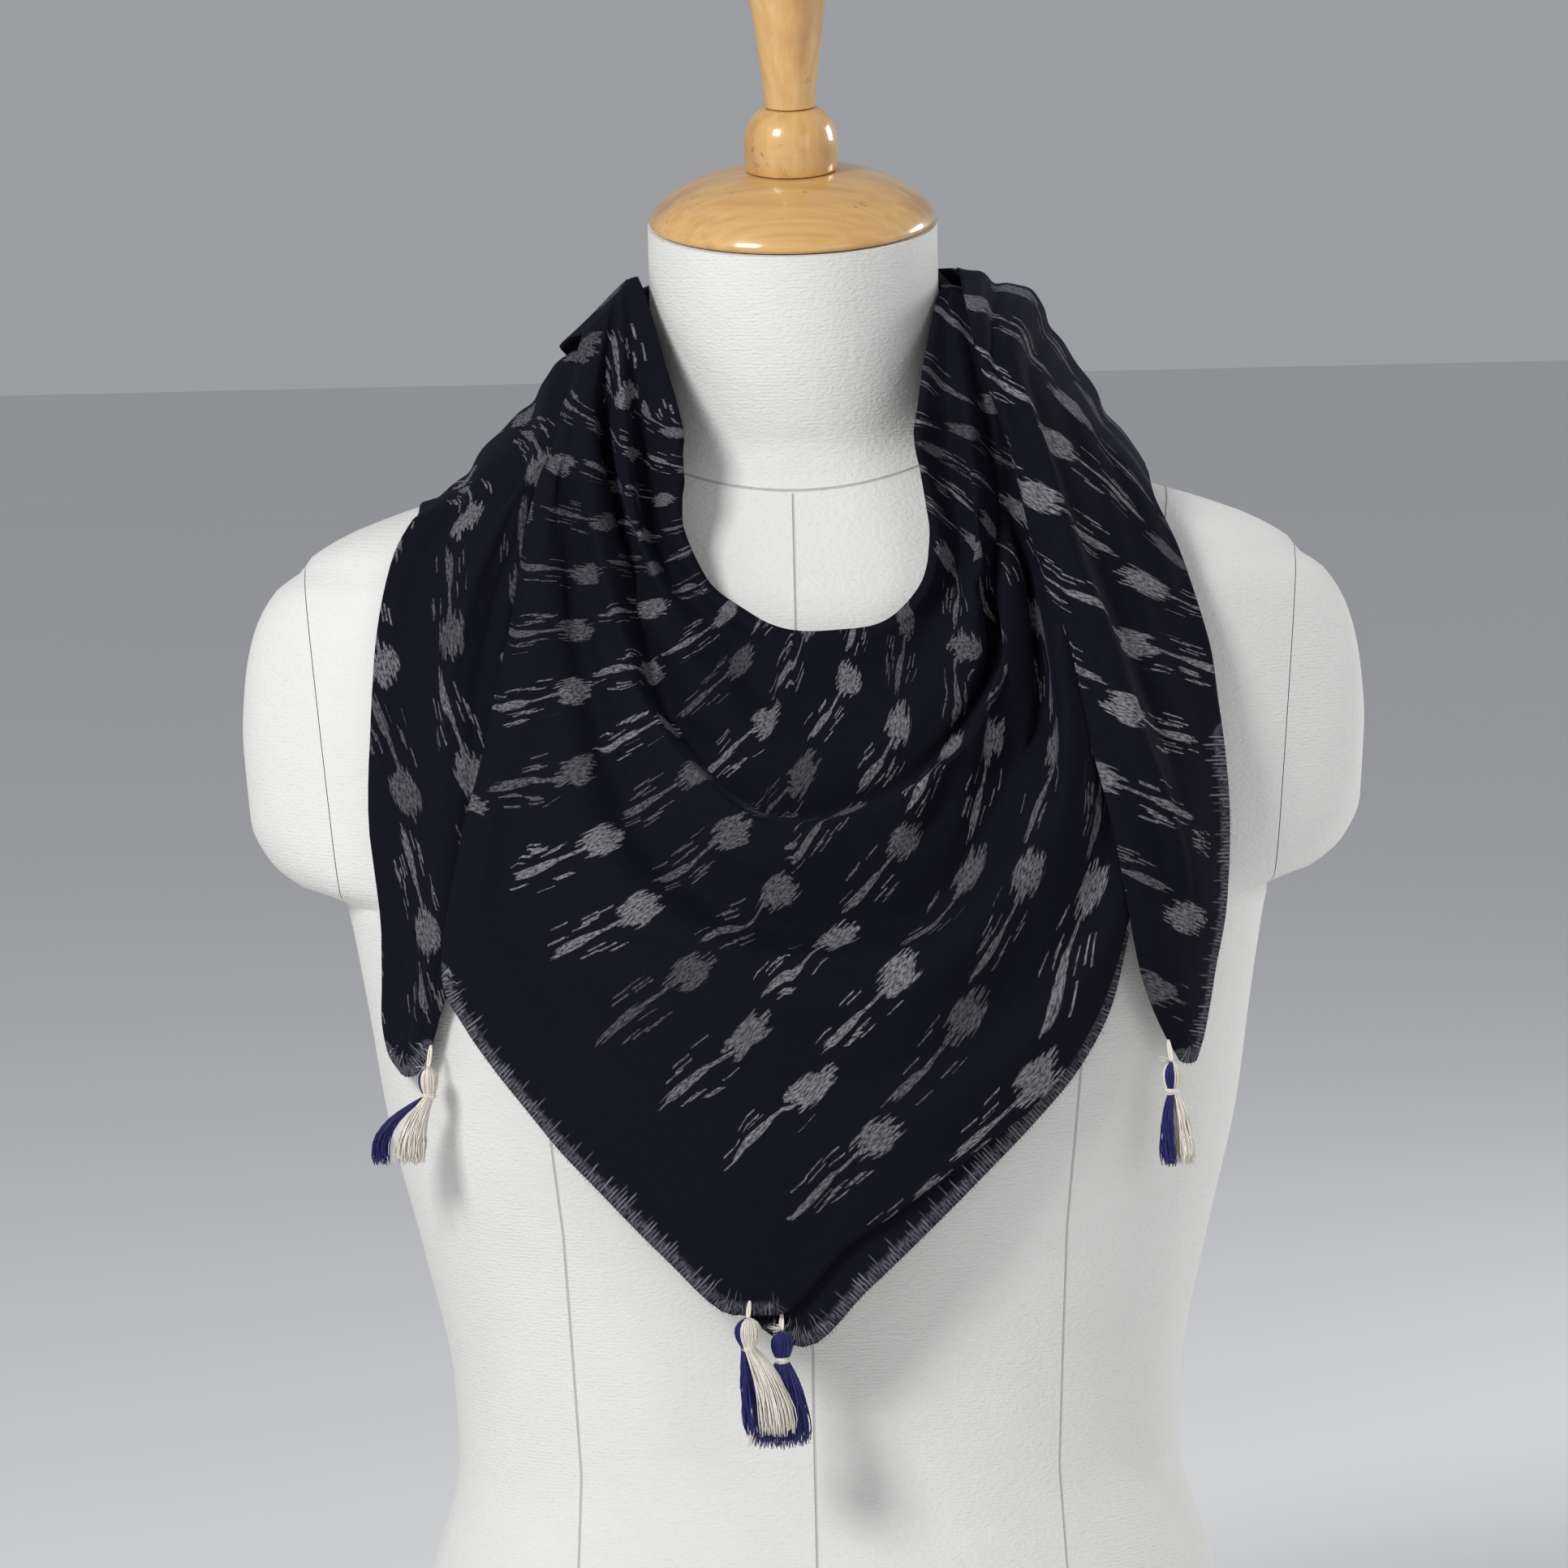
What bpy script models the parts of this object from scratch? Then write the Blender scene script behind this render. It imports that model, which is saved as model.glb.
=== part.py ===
"""A square ikat scarf, folded to a triangle and worn point to the front on a dress form.

Metres, +Z up, -Y to the front. The form rests on its flat base at z = 0, centred on the origin.
The front outline of the scarf is given as it looks from a viewpoint in front of the chest: mm right
of and above the middle of that view. seen() puts such a point in space at its own depth.
"""

import math

import bmesh
import bpy
import numpy as np
from mathutils import Matrix, Vector
from mathutils.bvhtree import BVHTree

MM = 0.001
CUT_DISTANCE = 1e-6
MERGE_DISTANCE = 0.00005
SHARP_ANGLE = math.radians(40)

# Viewpoint of the front outline
VIEW_DISTANCE = 3.0
VIEW_DROP = math.radians(5.0)
VIEW_ROLL = math.radians(1.3)
VIEW_MIDDLE = Vector((-0.0077, 0.0, 0.410))
FIRST_DEPTH = -0.1
DEPTH_ROUNDS = 4

# Cloth
WALL = 0.0015
CLEAR_OF_FORM = 0.0014
LAYER_STEP = 0.0026
LAYER_REACH = 0.025
LAYER_ASIDE = 0.0002
EDGE_APART = 0.0019
PUSH_ROUNDS = 5
GAP = 0.0003

# Tassels, placed on the front view: mm right and up of the head and of the skirt's lower end
TASSELS = [
    # name, head, skirt end, half width of the skirt, lift off the hull, length of the loop
    ("tassel_left", (-131.5, -110), (-139.5, -138.5), 6.5, 5.0, 8.0),
    ("tassel_right", (143.5, -108), (146.5, -139), 5.5, 10.0, 8.0),
    ("tassel_front_upper", (-13.5, -203.5), (-10.0, -239), 8.5, 5.5, 9.0),
    ("tassel_front_lower", (2.5, -209), (7.0, -242), 6.5, 2.0, 7.5),
]
HEAD_RADIUS = 0.0036
HEAD_HEIGHT = 0.0105
WRAP_RADIUS = 0.0034
WRAP_HEIGHT = 0.0028
STRANDS = 17
STRAND_ROOT = 0.0007
STRAND_WIDTH = 0.0010
STRAND_RINGS = 3
LOOP_RADIUS = 0.0006
LOOP_SUNK = 0.001
GOLDEN_TURN = math.radians(137.5)
STRAND_SIDES = 4
STRAND_END_STEPS = 4
STRAND_END_STEP = 0.0009
SKIRT_THICKNESS = 0.8
HEAD_AROUND = 12
HEAD_RINGS = 8
WRAP_SIDES = 12
WRAP_NARROWING = 0.86
LOOP_SIDES = 6

# Form: mm. height, half width, front and back from the middle, middle, rise to the back, roundness, arm
FORM_SECTIONS = [
    (0, 162, 101, 104, 0, 0.0, 2.2, 0),
    (5, 166, 105, 108, 0, 0.0, 2.2, 0),
    (60, 157, 100, 100, 0, 0.0, 2.2, 0),
    (120, 145, 93, 90, 0, 0.0, 2.2, 0),
    (163, 134, 88, 80, 0, 0.0, 2.2, 0),
    (190, 135, 90, 80, 0, 0.0, 2.2, 0),
    (240, 145, 98, 83, 0, 0.0, 2.2, 0),
    (290, 157, 110, 88, 0, 0.0, 2.2, 0),
    (330, 163, 116, 93, 0, 0.0, 2.2, 0),
    (360, 168, 113, 96, 0, 0.0, 2.2, 0),
    (371, 170, 110, 97, 0, 0.0, 2.2, 0),
    (377, 170, 109, 98, 0, 0.0, 2.2, 17),
    (386, 171, 107, 98, 0, 0.0, 2.2, 27),
    (401, 172, 102, 99, 0, 0.0, 2.2, 33),
    (428, 175, 92, 100, 0, 0.0, 2.2, 32),
    (450, 178, 83, 98, 0, 0.0, 2.2, 28),
    (470, 181, 74, 94, 0, 0.0, 2.2, 21),
    (486, 183, 67, 88, 0, 0.0, 2.2, 10),
    (495, 182, 61, 84, 0, 0.0, 2.1, 0),
    (504, 170, 57, 80, 0, 0.0, 2.1, 0),
    (514, 144, 54, 73, 1, 0.02, 2.0, 0),
    (522, 115, 52, 67, 2, 0.04, 2.0, 0),
    (531, 85, 51, 61, 3, 0.08, 2.0, 0),
    (541, 64, 51, 56, 3, 0.12, 2.0, 0),
    (556, 55, 52, 54, 0, 0.17, 2.0, 0),
    (580, 53, 53, 53, -5, 0.20, 2.0, 0),
    (617, 53, 53, 53, -12, 0.2126, 2.0, 0),
]
FORM_SIDES = 40
FORM_STEP = 27
ARM_FOCUS = 8
BELOW_ARMS = 0.36
ARMHOLE_LOW = Vector((0.170, 0, 0.373))
ARMHOLE_HIGH = Vector((0.182, 0, 0.495))

# Wooden cap: mm along the leaning neck axis, from the top of the neck. radius, height
NECK_TOP = Vector((0, -0.012, 0.617))
NECK_LEAN = math.atan(0.2126)
CAP_PROFILE = [(0, 20), (17, 20), (28, 18.2), (40, 13.5), (48, 8), (52, 3.5), (52.5, 1.6), (51.5, 0.3), (0, 0.3)]
BALL_PROFILE = [(0, 43.5), (10, 43), (13.5, 40.5), (16.3, 36), (17.2, 31.5), (17.3, 26), (17, 22), (16.5, 20.3), (0, 20.3)]
HANDLE_PROFILE = [
    (0, 133), (4, 132.4), (8, 129.5), (12, 123), (15, 113), (15.8, 102), (14.6, 87),
    (12.4, 72), (10.9, 60), (9.85, 51), (9.4, 43.8), (0, 43.8),
]
TURNED_STEPS = 24

# Outer hull of the draped cloth at the front: mm. height, half width, depth in front of the axis
HULL_SECTIONS = [
    (190, 158, 128),
    (250, 160, 128),
    (300, 164, 127),
    (340, 172, 125),
    (370, 180, 120),
    (400, 187, 112),
    (430, 190, 100),
    (466, 187, 84),
    (497, 176, 74),
    (520, 156, 70),
    (545, 126, 68),
    (570, 92, 66),
    (600, 66, 62),
    (620, 60, 60),
]
HULL_ROUNDNESS = 2.2

# Front panel, in rays round the middle of the neck: degrees from straight down, then mm along the ray
FAN_MIDDLE = (3.6, 121.8)
FRONT_RADII = [
    # angle, edge, crease, roll, valley, rim, hollow, low rim, dip, swell, hem
    (-112, 48, 62, 68, 75, 79, 81, 82, 83, 84, 86),
    (-96, 43, 58, 63, 70, 76, 79, 82, 84, 86, 88),
    (-80, 42, 56, 62, 69, 77, 85, 88, 91, 94, 97),
    (-60, 48, 59, 65, 72, 82, 94, 100, 108, 115, 121),
    (-45, 53, 63, 70, 81, 92, 110, 124, 140, 154, 166),
    (-34, 57, 66, 77, 93, 103, 126, 150, 190, 212, 232),
    (-18, 61, 72, 92, 117, 122, 156, 177, 220, 246, 274),
    (-2, 65, 94, 112, 134, 138, 174, 189, 229, 256, 320),
    (14, 67, 94, 112, 130, 134, 176, 190, 226, 246, 268),
    (30, 70, 88, 104, 120, 125, 150, 176, 206, 220, 232),
    (42, 68, 80, 94, 108, 113, 132, 152, 176, 188, 196),
    (56, 61, 74, 82, 89, 94, 104, 119, 134, 140, 146),
    (74, 50, 61, 70, 78, 82, 88, 100, 106, 109, 112),
    (92, 46, 56, 65, 73, 76, 79, 85, 88, 90, 92),
    (108, 50, 59, 67, 73, 76, 79, 83, 86, 88, 90),
]
FRONT_LIFTS = [
    # angle, then mm out from the hull on the same ten lines
    (-112, 5, -2, 7, -3, 5, 6, 6, 6, 5, 3),
    (-96, 5, -3, 8, -5, 6, 6, 6, 7, 6, 3),
    (-80, 6, -4, 8, -7, 7, 6, 6, 8, 8, 4),
    (-60, 5, -4, 8, -8, 9, 3, 6, 9, 10, 4),
    (-45, 4, -3, 6, -8, 10, 2, 6, 10, 11, 5),
    (-34, 3, -3, 4, -7, 11, 0, 8, 4, 8, 6),
    (-18, 2, -4, 1, -6, 12, -1, 10, 0, 7, 3),
    (-2, 2, -4, 0, -5, 12, -3, 10, -1, 6, 0),
    (14, 3, -4, 0, -5, 12, -6, 10, -1, 6, 1),
    (30, 4, -3, 2, -5, 12, -8, 12, 0, 5, 2),
    (42, 5, -3, 5, -6, 9, -9, 13, 2, 4, 2),
    (56, 6, -4, 9, -8, 0, -9, 12, 3, 2, 0),
    (74, 8, -3, 10, -8, -7, -7, 8, 1, 0, -2),
    (92, 8, -2, 8, -4, -2, -2, 2, 0, -1, -2),
    (108, 6, -1, 5, -1, 0, 0, 0, 0, -1, -1),
]
# The hem again, with its corners: degrees, mm along the ray
FRONT_HEM = [(-34, 232), (-30, 244), (-22, 262), (-14, 284), (-4, 319), (-1, 318), (4, 293), (10, 277), (15, 266),
             (21, 256), (26, 244), (36, 211)]
FRONT_STEPS = (2, 2, 2, 2, 3, 2, 2, 2, 3)
# The neckline edge turned in: mm along the ray and mm deep, in front and where it has flattened at the neck sides
FRONT_TURN_IN = np.array([(2, 7.5), (0.5, 5), (0, 2.5)])
FLAT_EDGE = np.array([(-2.4, 1.2), (-1.6, 0.6), (-0.8, 0.2)])
EDGE_ROUNDING = 3
TUCK_SHARE = ((74, 100), (1.0, 0.0))
NECK_SIDE_TURN_IN = ((-0.024, 1.0), (-0.016, 0.5), (-0.008, 0.2))
FRONT_HEM_ANGLES = np.array([-34, -30, -26, -22, -18, -14, -9, -4, -1, 4, 8, 12, 16, 20, 24, 28, 32, 36])
FRONT_SIDE_ANGLES = np.array([41, 47, 53, 60, 68, 76, 84, 92, 100, 107])

# Second layer, showing below the right hem: degrees, then mm along the ray
UNDER_INNER = [(-22, 190), (-12, 200), (5, 205), (25, 190), (36, 170)]
UNDER_HEM = [(-22, 258), (-12, 284), (-5, 312), (0.6, 330), (6, 306), (10, 291), (15, 275), (20, 262), (25, 250),
             (31, 232), (35, 216)]
UNDER_ANGLES = np.array([-22, -12, -5, 0.6, 5, 10, 15, 20, 25, 30, 35])
UNDER_STEPS = 5
UNDER_DROP = 3.4

# Ends over the front: sections of four points, mm right of and above the middle of the view
LEFT_END_FRONT = [
    # inner, ridge, valley, outer
    ((-66, 142), (-90, 122), (-108, 109), (-137, 97)),
    ((-80, 112), (-103, 98), (-121, 89), (-144, 85)),
    ((-95, 78), (-115, 66), (-131, 61), (-150, 57)),
    ((-103, 35), (-121, 34), (-137, 33), (-152, 32)),
    ((-107, -10), (-123, -10), (-139, -10), (-153, -10)),
    ((-116, -55), (-127, -55), (-138, -55), (-148.5, -55)),
    ((-127, -85), (-134, -85), (-141, -85), (-148, -85)),
    ((-131, -99), (-136, -100), (-141, -100), (-146, -99)),
    ((-135, -107), (-137, -108), (-139, -108), (-141, -107)),
]
LEFT_END_LIFTS = [
    (-4, 1, -4, -1),
    (-4, 2, -4, -1),
    (-4, 2, -4, -1),
    (-4, 1, -3, -1),
    (-4, 0, -3, -1),
    (-4, 0, -2, -1),
    (-3, 0, -2, -1),
    (-2, -1, -1, -1),
    (-1, -1, -1, -1),
]
RIGHT_END_FRONT = [
    ((70, 163), (84, 158), (104, 141), (137, 107)),
    ((83, 126), (96, 122), (116, 112), (146, 88)),
    ((94, 86), (107, 82), (128, 76), (152, 70)),
    ((105, 50), (121, 48), (137, 48), (158, 48)),
    ((112, 20), (130, 18), (144, 18), (162, 18)),
    ((120, -10), (142, -11), (152, -11), (164.5, -11)),
    ((126, -40), (147, -41), (156, -41), (164, -41)),
    ((132, -70), (147, -71), (153, -71), (159, -70)),
    ((140, -91), (148, -92), (152, -92), (155.5, -91)),
    ((146, -102), (148, -103), (150, -103), (152, -102)),
]
RIGHT_END_LIFTS = [
    (13, 18, 8, 3),
    (9, 19, 7, 4),
    (7, 20, 7, 5),
    (11, 19, 7, 5),
    (10, 17, 7, 5),
    (8, 13, 8, 5),
    (6, 10, 8, 5),
    (5, 8, 7, 5),
    (4, 6, 6, 5),
    (4, 5, 5, 4),
]

# Collar surface that the scarf follows round the neck: plan angle from the front, then mm.
# top edge out and up, lower edge out and up, and how hollow (under 1) or full (over 1) the slope is
COLLAR_SECTIONS = [
    (70, 57, 590, 112, 530, 1.4),
    (100, 58, 590, 122, 517, 1.55),
    (120, 60, 591, 120, 500, 1.05),
    (150, 66, 598, 115, 480, 0.75),
    (180, 70, 602, 108, 470, 0.65),
    (210, 66, 598, 116, 480, 0.75),
    (240, 61, 589, 126, 494, 0.95),
    (260, 57, 589, 137, 511, 1.05),
    (290, 56, 591, 135, 515, 1.0),
]
COLLAR_TOP_SHARE = 0.05
# Each band over the collar: plan angle, and the shares of the slope where it starts and ends
LEFT_BAND = [(111.5, 0.0, 0.24), (135, 0.0, 0.36), (158, 0.0, 0.5), (180, 0.0, 0.64), (203, 0.0, 0.78),
             (225, 0.0, 0.9), (248, 0.02, 1.0), (268, 0.06, 1.0)]
RIGHT_BAND = [(248.5, 0.0, 0.3), (225, 0.0, 0.4), (203, 0.0, 0.52), (180, 0.0, 0.66), (157, 0.0, 0.8),
              (135, 0.0, 0.92), (112, 0.0, 1.0), (92, 0.0, 1.0)]
LEFT_BAND_OFF = (2, 4, 1, 2)
RIGHT_BAND_OFF = (9, 14, 8, 8)
BAND_LINES = (0, 0.3, 0.65, 1)
# The front panel's two upper ends, carried on round the neck to meet the bands
LEFT_NECK_SIDE = [(288, 0.24), (275, 0.29), (262, 0.31), (249, 0.32)]
RIGHT_NECK_SIDE = [(72, 0.2), (85, 0.22), (98, 0.23), (111, 0.24)]
END_STEPS = (4, 4, 4)
END_ROW_STEPS = 2


def through(keys, values, at):
    """Smooth curve through the values, with no overshoot: level at each crest and valley."""
    keys = np.asarray(keys, float)
    values = np.asarray(values, float)
    at = np.asarray(at, float)
    rise = np.diff(values, axis=0)
    run = np.diff(keys).reshape((-1,) + (1,) * (values.ndim - 1))
    slope = rise / run
    tangent = np.zeros_like(values)
    same = slope[:-1] * slope[1:] > 0
    both = np.where(same, slope[:-1] + slope[1:], 1)
    tangent[1:-1] = np.where(same, 2 * slope[:-1] * slope[1:] / both, 0)
    tangent[0] = slope[0]
    tangent[-1] = slope[-1]
    piece = np.clip(np.searchsorted(keys, at, side="right") - 1, 0, len(keys) - 2)
    width = (keys[piece + 1] - keys[piece]).reshape((-1,) + (1,) * (values.ndim - 1))
    t = (at - keys[piece]).reshape(width.shape) / width
    return (
        values[piece] * (1 + 2 * t) * (1 - t) ** 2
        + tangent[piece] * width * t * (1 - t) ** 2
        + values[piece + 1] * t * t * (3 - 2 * t)
        + tangent[piece + 1] * width * t * t * (t - 1)
    )


def steps_between(counts):
    """Places along a row of lines, counts[i] steps from line i to the next."""
    places = [0.0]
    for line, count in enumerate(counts):
        places += [line + (i + 1) / count for i in range(count)]
    return np.array(places)


def seen(right, up, depth):
    """The point in space at depth y (m) that looks to be right and up (mm) in the front view."""
    turned = Matrix.Rotation(-VIEW_ROLL, 2) @ Vector((right, up)) * MM
    ahead = Vector((0, math.cos(VIEW_DROP), -math.sin(VIEW_DROP)))
    above = Vector((0, math.sin(VIEW_DROP), math.cos(VIEW_DROP)))
    eye = VIEW_MIDDLE - ahead * VIEW_DISTANCE
    ray = ahead * VIEW_DISTANCE + Vector((turned.x, 0, 0)) + above * turned.y
    return eye + ray * ((depth - eye.y) / ray.y)


def hull_depth(x, z):
    """y of the draped hull in front of a point at x and z."""
    half, depth = through(
        [row[0] * MM for row in HULL_SECTIONS],
        [(row[1] * MM, row[2] * MM) for row in HULL_SECTIONS],
        [min(max(z, HULL_SECTIONS[0][0] * MM), HULL_SECTIONS[-1][0] * MM)],
    )[0]
    across = min(abs(x) / half, 1.0)
    return -depth * (1 - across**HULL_ROUNDNESS) ** (1 / HULL_ROUNDNESS)


def on_hull(right, up, lift):
    """A point of the cloth as it looks from the front, lift mm out from the hull."""
    depth = FIRST_DEPTH
    for _ in range(DEPTH_ROUNDS):
        point = seen(right, up, depth)
        depth = hull_depth(point.x, point.z) - lift * MM
    return seen(right, up, depth)


def material(name, colour, roughness, metallic=0.0):
    made = bpy.data.materials.new(name)
    made.use_nodes = True
    shader = made.node_tree.nodes["Principled BSDF"]
    shader.inputs["Base Color"].default_value = (*colour, 1)
    shader.inputs["Roughness"].default_value = roughness
    shader.inputs["Metallic"].default_value = metallic
    return made


def add_object(name, mesh, finish, collection, smooth=True):
    made = bpy.data.objects.new(name, mesh)
    mesh.materials.append(finish)
    collection.objects.link(made)
    if smooth:
        mesh.shade_smooth()
    return made


def clear_scene():
    for old in list(bpy.data.objects):
        bpy.data.objects.remove(old, do_unlink=True)


def power(value, exponent):
    return math.copysign(abs(value) ** exponent, value)


def form_heights():
    """Heights of the rings: each section, and more between sections that lie far apart."""
    heights = []
    for low, high in zip(FORM_SECTIONS, FORM_SECTIONS[1:]):
        parts = max(1, math.ceil((high[0] - low[0]) / FORM_STEP))
        heights += [low[0] + (high[0] - low[0]) * i / parts for i in range(parts)]
    return heights + [FORM_SECTIONS[-1][0]]


def form_mesh():
    """The whole body of the form, arms included, as one loft of rounded sections."""
    body = bmesh.new()
    heights = form_heights()
    rows = through([row[0] for row in FORM_SECTIONS], [row[1:] for row in FORM_SECTIONS], heights)
    rings = []
    for height, (half, front, back, middle, rise, roundness, arm) in zip(heights, rows):
        ring = []
        for side in range(FORM_SIDES):
            turn = 2 * math.pi * side / FORM_SIDES
            across = half * power(math.cos(turn), 2 / roundness) + arm * power(math.cos(turn), ARM_FOCUS)
            reach = back if math.sin(turn) > 0 else front
            ahead = reach * power(math.sin(turn), 2 / roundness)
            ring.append(body.verts.new(Vector((across, middle + ahead, height + ahead * rise)) * MM))
        rings.append(ring)
    for low, high in zip(rings, rings[1:]):
        for side in range(FORM_SIDES):
            after = (side + 1) % FORM_SIDES
            body.faces.new((low[side], low[after], high[after], high[side]))
    body.faces.new(rings[0][::-1])
    body.faces.new(rings[-1])
    return body


def cut_flat(body, point, normal, above=-1.0):
    """Cuts away what lies beyond the plane, among the faces above a height, and closes the cut."""
    faces = [face for face in body.faces if min(corner.co.z for corner in face.verts) > above]
    edges = {edge for face in faces for edge in face.edges}
    corners = {corner for face in faces for corner in face.verts}
    bmesh.ops.bisect_plane(
        body, geom=faces + list(edges) + list(corners), dist=CUT_DISTANCE,
        plane_co=point, plane_no=normal, clear_outer=True)
    rim = [edge for edge in body.edges if edge.is_boundary]
    bmesh.ops.holes_fill(body, edges=rim, sides=0)


def armhole(side):
    """A point on the armhole plane of one side, and the direction out through it."""
    along = ARMHOLE_HIGH - ARMHOLE_LOW
    out = Vector((along.z, 0, -along.x)).normalized()
    return Vector((ARMHOLE_LOW.x * side, 0, ARMHOLE_LOW.z)), Vector((out.x * side, 0, out.z))


def build_form(finish, collection):
    torso = form_mesh()
    for side in (-1, 1):
        cut_flat(torso, *armhole(side), above=BELOW_ARMS)
    pieces = [("form_torso", torso)]
    for name, side in (("form_arm_left", -1), ("form_arm_right", 1)):
        stump = form_mesh()
        point, out = armhole(side)
        cut_flat(stump, Vector((0, 0, BELOW_ARMS)), Vector((0, 0, -1)))
        cut_flat(stump, point + out * GAP, -out)
        pieces.append((name, stump))
    made = []
    for name, shape in pieces:
        mesh = bpy.data.meshes.new(name)
        shape.to_mesh(mesh)
        shape.free()
        made.append(add_object(name, mesh, finish, collection))
        mesh.set_sharp_from_angle(angle=SHARP_ANGLE)
    return made


def build_turned(name, profile, finish, collection):
    """A turned piece on the leaning axis of the neck."""
    mesh = bpy.data.meshes.new(name)
    points = [(radius * MM, 0, height * MM) for radius, height in profile]
    mesh.from_pydata(points, [(i, i + 1) for i in range(len(points) - 1)], [])
    made = add_object(name, mesh, finish, collection, smooth=False)
    made.location = NECK_TOP
    made.rotation_euler.x = NECK_LEAN
    screw = made.modifiers.new("turning", "SCREW")
    screw.axis = "Z"
    screw.angle = 2 * math.pi
    screw.steps = screw.render_steps = TURNED_STEPS
    screw.use_merge_vertices = True
    screw.merge_threshold = MERGE_DISTANCE
    screw.use_smooth_shade = True
    return made


def front_grid():
    """Rows by angle, from the turned-in neckline edge out to the hem."""
    angles = np.concatenate([FRONT_SIDE_ANGLES[::-1] * -1, FRONT_HEM_ANGLES, FRONT_SIDE_ANGLES])
    keys = [row[0] for row in FRONT_RADII]
    radii = through(keys, [row[1:] for row in FRONT_RADII], angles)
    lifts = through(keys, [row[1:] for row in FRONT_LIFTS], angles)
    hemmed = abs(angles) < FRONT_SIDE_ANGLES[0]
    radii[hemmed, -1] = np.interp(angles[hemmed], *np.transpose(FRONT_HEM))
    places = steps_between(FRONT_STEPS)
    shares = places / places[-1]
    grid = [neck_side(angle, wide, shares, RIGHT_BAND_OFF[0]) for angle, wide in LEFT_NECK_SIDE][::-1]
    for angle, radius_row, lift_row in zip(angles, radii, lifts):
        along = through(range(len(radius_row)), radius_row, places)
        lift = through(range(len(lift_row)), lift_row, places)
        turn = math.radians(angle)
        ray = Vector((math.sin(turn), -math.cos(turn)))
        tuck = np.interp(abs(angle), *TUCK_SHARE)
        turned_in = FRONT_TURN_IN * tuck + FLAT_EDGE * (1 - tuck)
        row = [(along[0] + back, lift[0] - depth) for back, depth in turned_in]
        along[0] += EDGE_ROUNDING * tuck
        row += list(zip(along, lift))
        grid.append([on_hull(FAN_MIDDLE[0] + ray.x * r, FAN_MIDDLE[1] + ray.y * r, up) for r, up in row])
    return grid + [neck_side(angle, wide, shares, LEFT_BAND_OFF[0]) for angle, wide in RIGHT_NECK_SIDE]


def under_grid():
    """Rows by angle of the second layer, from under the front panel out to its own hem."""
    reach = np.interp(UNDER_ANGLES, *np.transpose(UNDER_INNER))
    hems = np.interp(UNDER_ANGLES, *np.transpose(UNDER_HEM))
    grid = []
    for angle, inner, hem in zip(UNDER_ANGLES, reach, hems):
        turn = math.radians(angle)
        ray = Vector((math.sin(turn), -math.cos(turn)))
        grid.append([
            on_hull(FAN_MIDDLE[0] + ray.x * r, FAN_MIDDLE[1] + ray.y * r, -UNDER_DROP)
            for r in np.linspace(inner, hem, UNDER_STEPS + 1)
        ])
    return grid


def on_collar(angle, share, off):
    """A point round the neck: share of the way down the slope, off mm out from it."""
    columns = through([row[0] for row in COLLAR_SECTIONS], [row[1:] for row in COLLAR_SECTIONS], [angle])[0]
    top_out, top_up, low_out, low_up, fullness = columns
    run, fall = low_out - top_out, top_up - low_up
    steep = fullness * max(share, COLLAR_TOP_SHARE) ** (fullness - 1)
    normal = Vector((fall * steep, run)).normalized()
    out = top_out + run * share + normal.x * off
    turn = math.radians(angle)
    height = top_up - fall * power(share, fullness) + normal.y * off
    return Vector((math.sin(turn) * out, -math.cos(turn) * out, height)) * MM


def neck_side(angle, wide, shares, off):
    """A row of the front panel's upper end, with its turned-in points first."""
    inner = [on_collar(angle, share, off - drop) for share, drop in NECK_SIDE_TURN_IN]
    return inner + [on_collar(angle, wide * share, off) for share in shares]


def end_grid(band, offs, front, lifts):
    """Rows along an end, from the side of the neck round the nape, over the shoulder and down to the tip."""
    rows = []
    for angle, start, stop in band:
        rows.append([
            on_collar(angle, start + (stop - start) * line, off) for line, off in zip(BAND_LINES, offs)
        ])
    for row, lift_row in zip(front, lifts):
        rows.append([on_hull(*place, lift) for place, lift in zip(row, lift_row)])
    rows = np.array([[tuple(point) for point in row] for row in rows])
    fine = through(range(len(rows)), rows, steps_between([END_ROW_STEPS] * (len(rows) - 1)))
    places = steps_between(END_STEPS)
    return [[Vector(point) for point in through(range(4), row, places)] for row in fine]


def sheet_mesh(grid):
    shape = bmesh.new()
    corners = [[shape.verts.new(point) for point in row] for row in grid]
    for row, after in zip(corners, corners[1:]):
        for i in range(len(row) - 1):
            shape.faces.new((row[i], row[i + 1], after[i + 1], after[i]))
    return shape


def corner_sets(grid):
    """The grid's points, edge middles and cell middles, each as the places of the corners it depends on."""
    rows, columns = len(grid), len(grid[0])
    for r in range(rows):
        for c in range(columns):
            yield ((r, c),)
            if c + 1 < columns:
                yield (r, c), (r, c + 1)
            if r + 1 < rows:
                yield (r, c), (r + 1, c)
            if r + 1 < rows and c + 1 < columns:
                yield (r, c), (r, c + 1), (r + 1, c), (r + 1, c + 1)


def push_off(grid, layers):
    """Moves what lies too near a layer out along its normal, never down, and what crosses its edge aside.

    A layer is its tree, how far off it the cloth stays, and how far from flush counts as crossing its edge.
    """
    places = list(corner_sets(grid))
    for _ in range(PUSH_ROUNDS):
        for corners in places:
            for tree, distance, flush in layers:
                point = sum((grid[r][c] for r, c in corners), Vector()) / len(corners)
                near, normal, _, away = tree.find_nearest(point, LAYER_REACH)
                if near is None:
                    continue
                height = (point - near).dot(normal)
                if away * away - height * height < LAYER_ASIDE**2:
                    short = distance - height
                    push = Vector((normal.x, normal.y, max(normal.z, 0))).normalized()
                else:
                    short = EDGE_APART - away if abs(height) >= flush else 0
                    push = (point - near).normalized()
                if short > 0:
                    for r, c in corners:
                        grid[r][c] = grid[r][c] + push * short
    return grid


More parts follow.
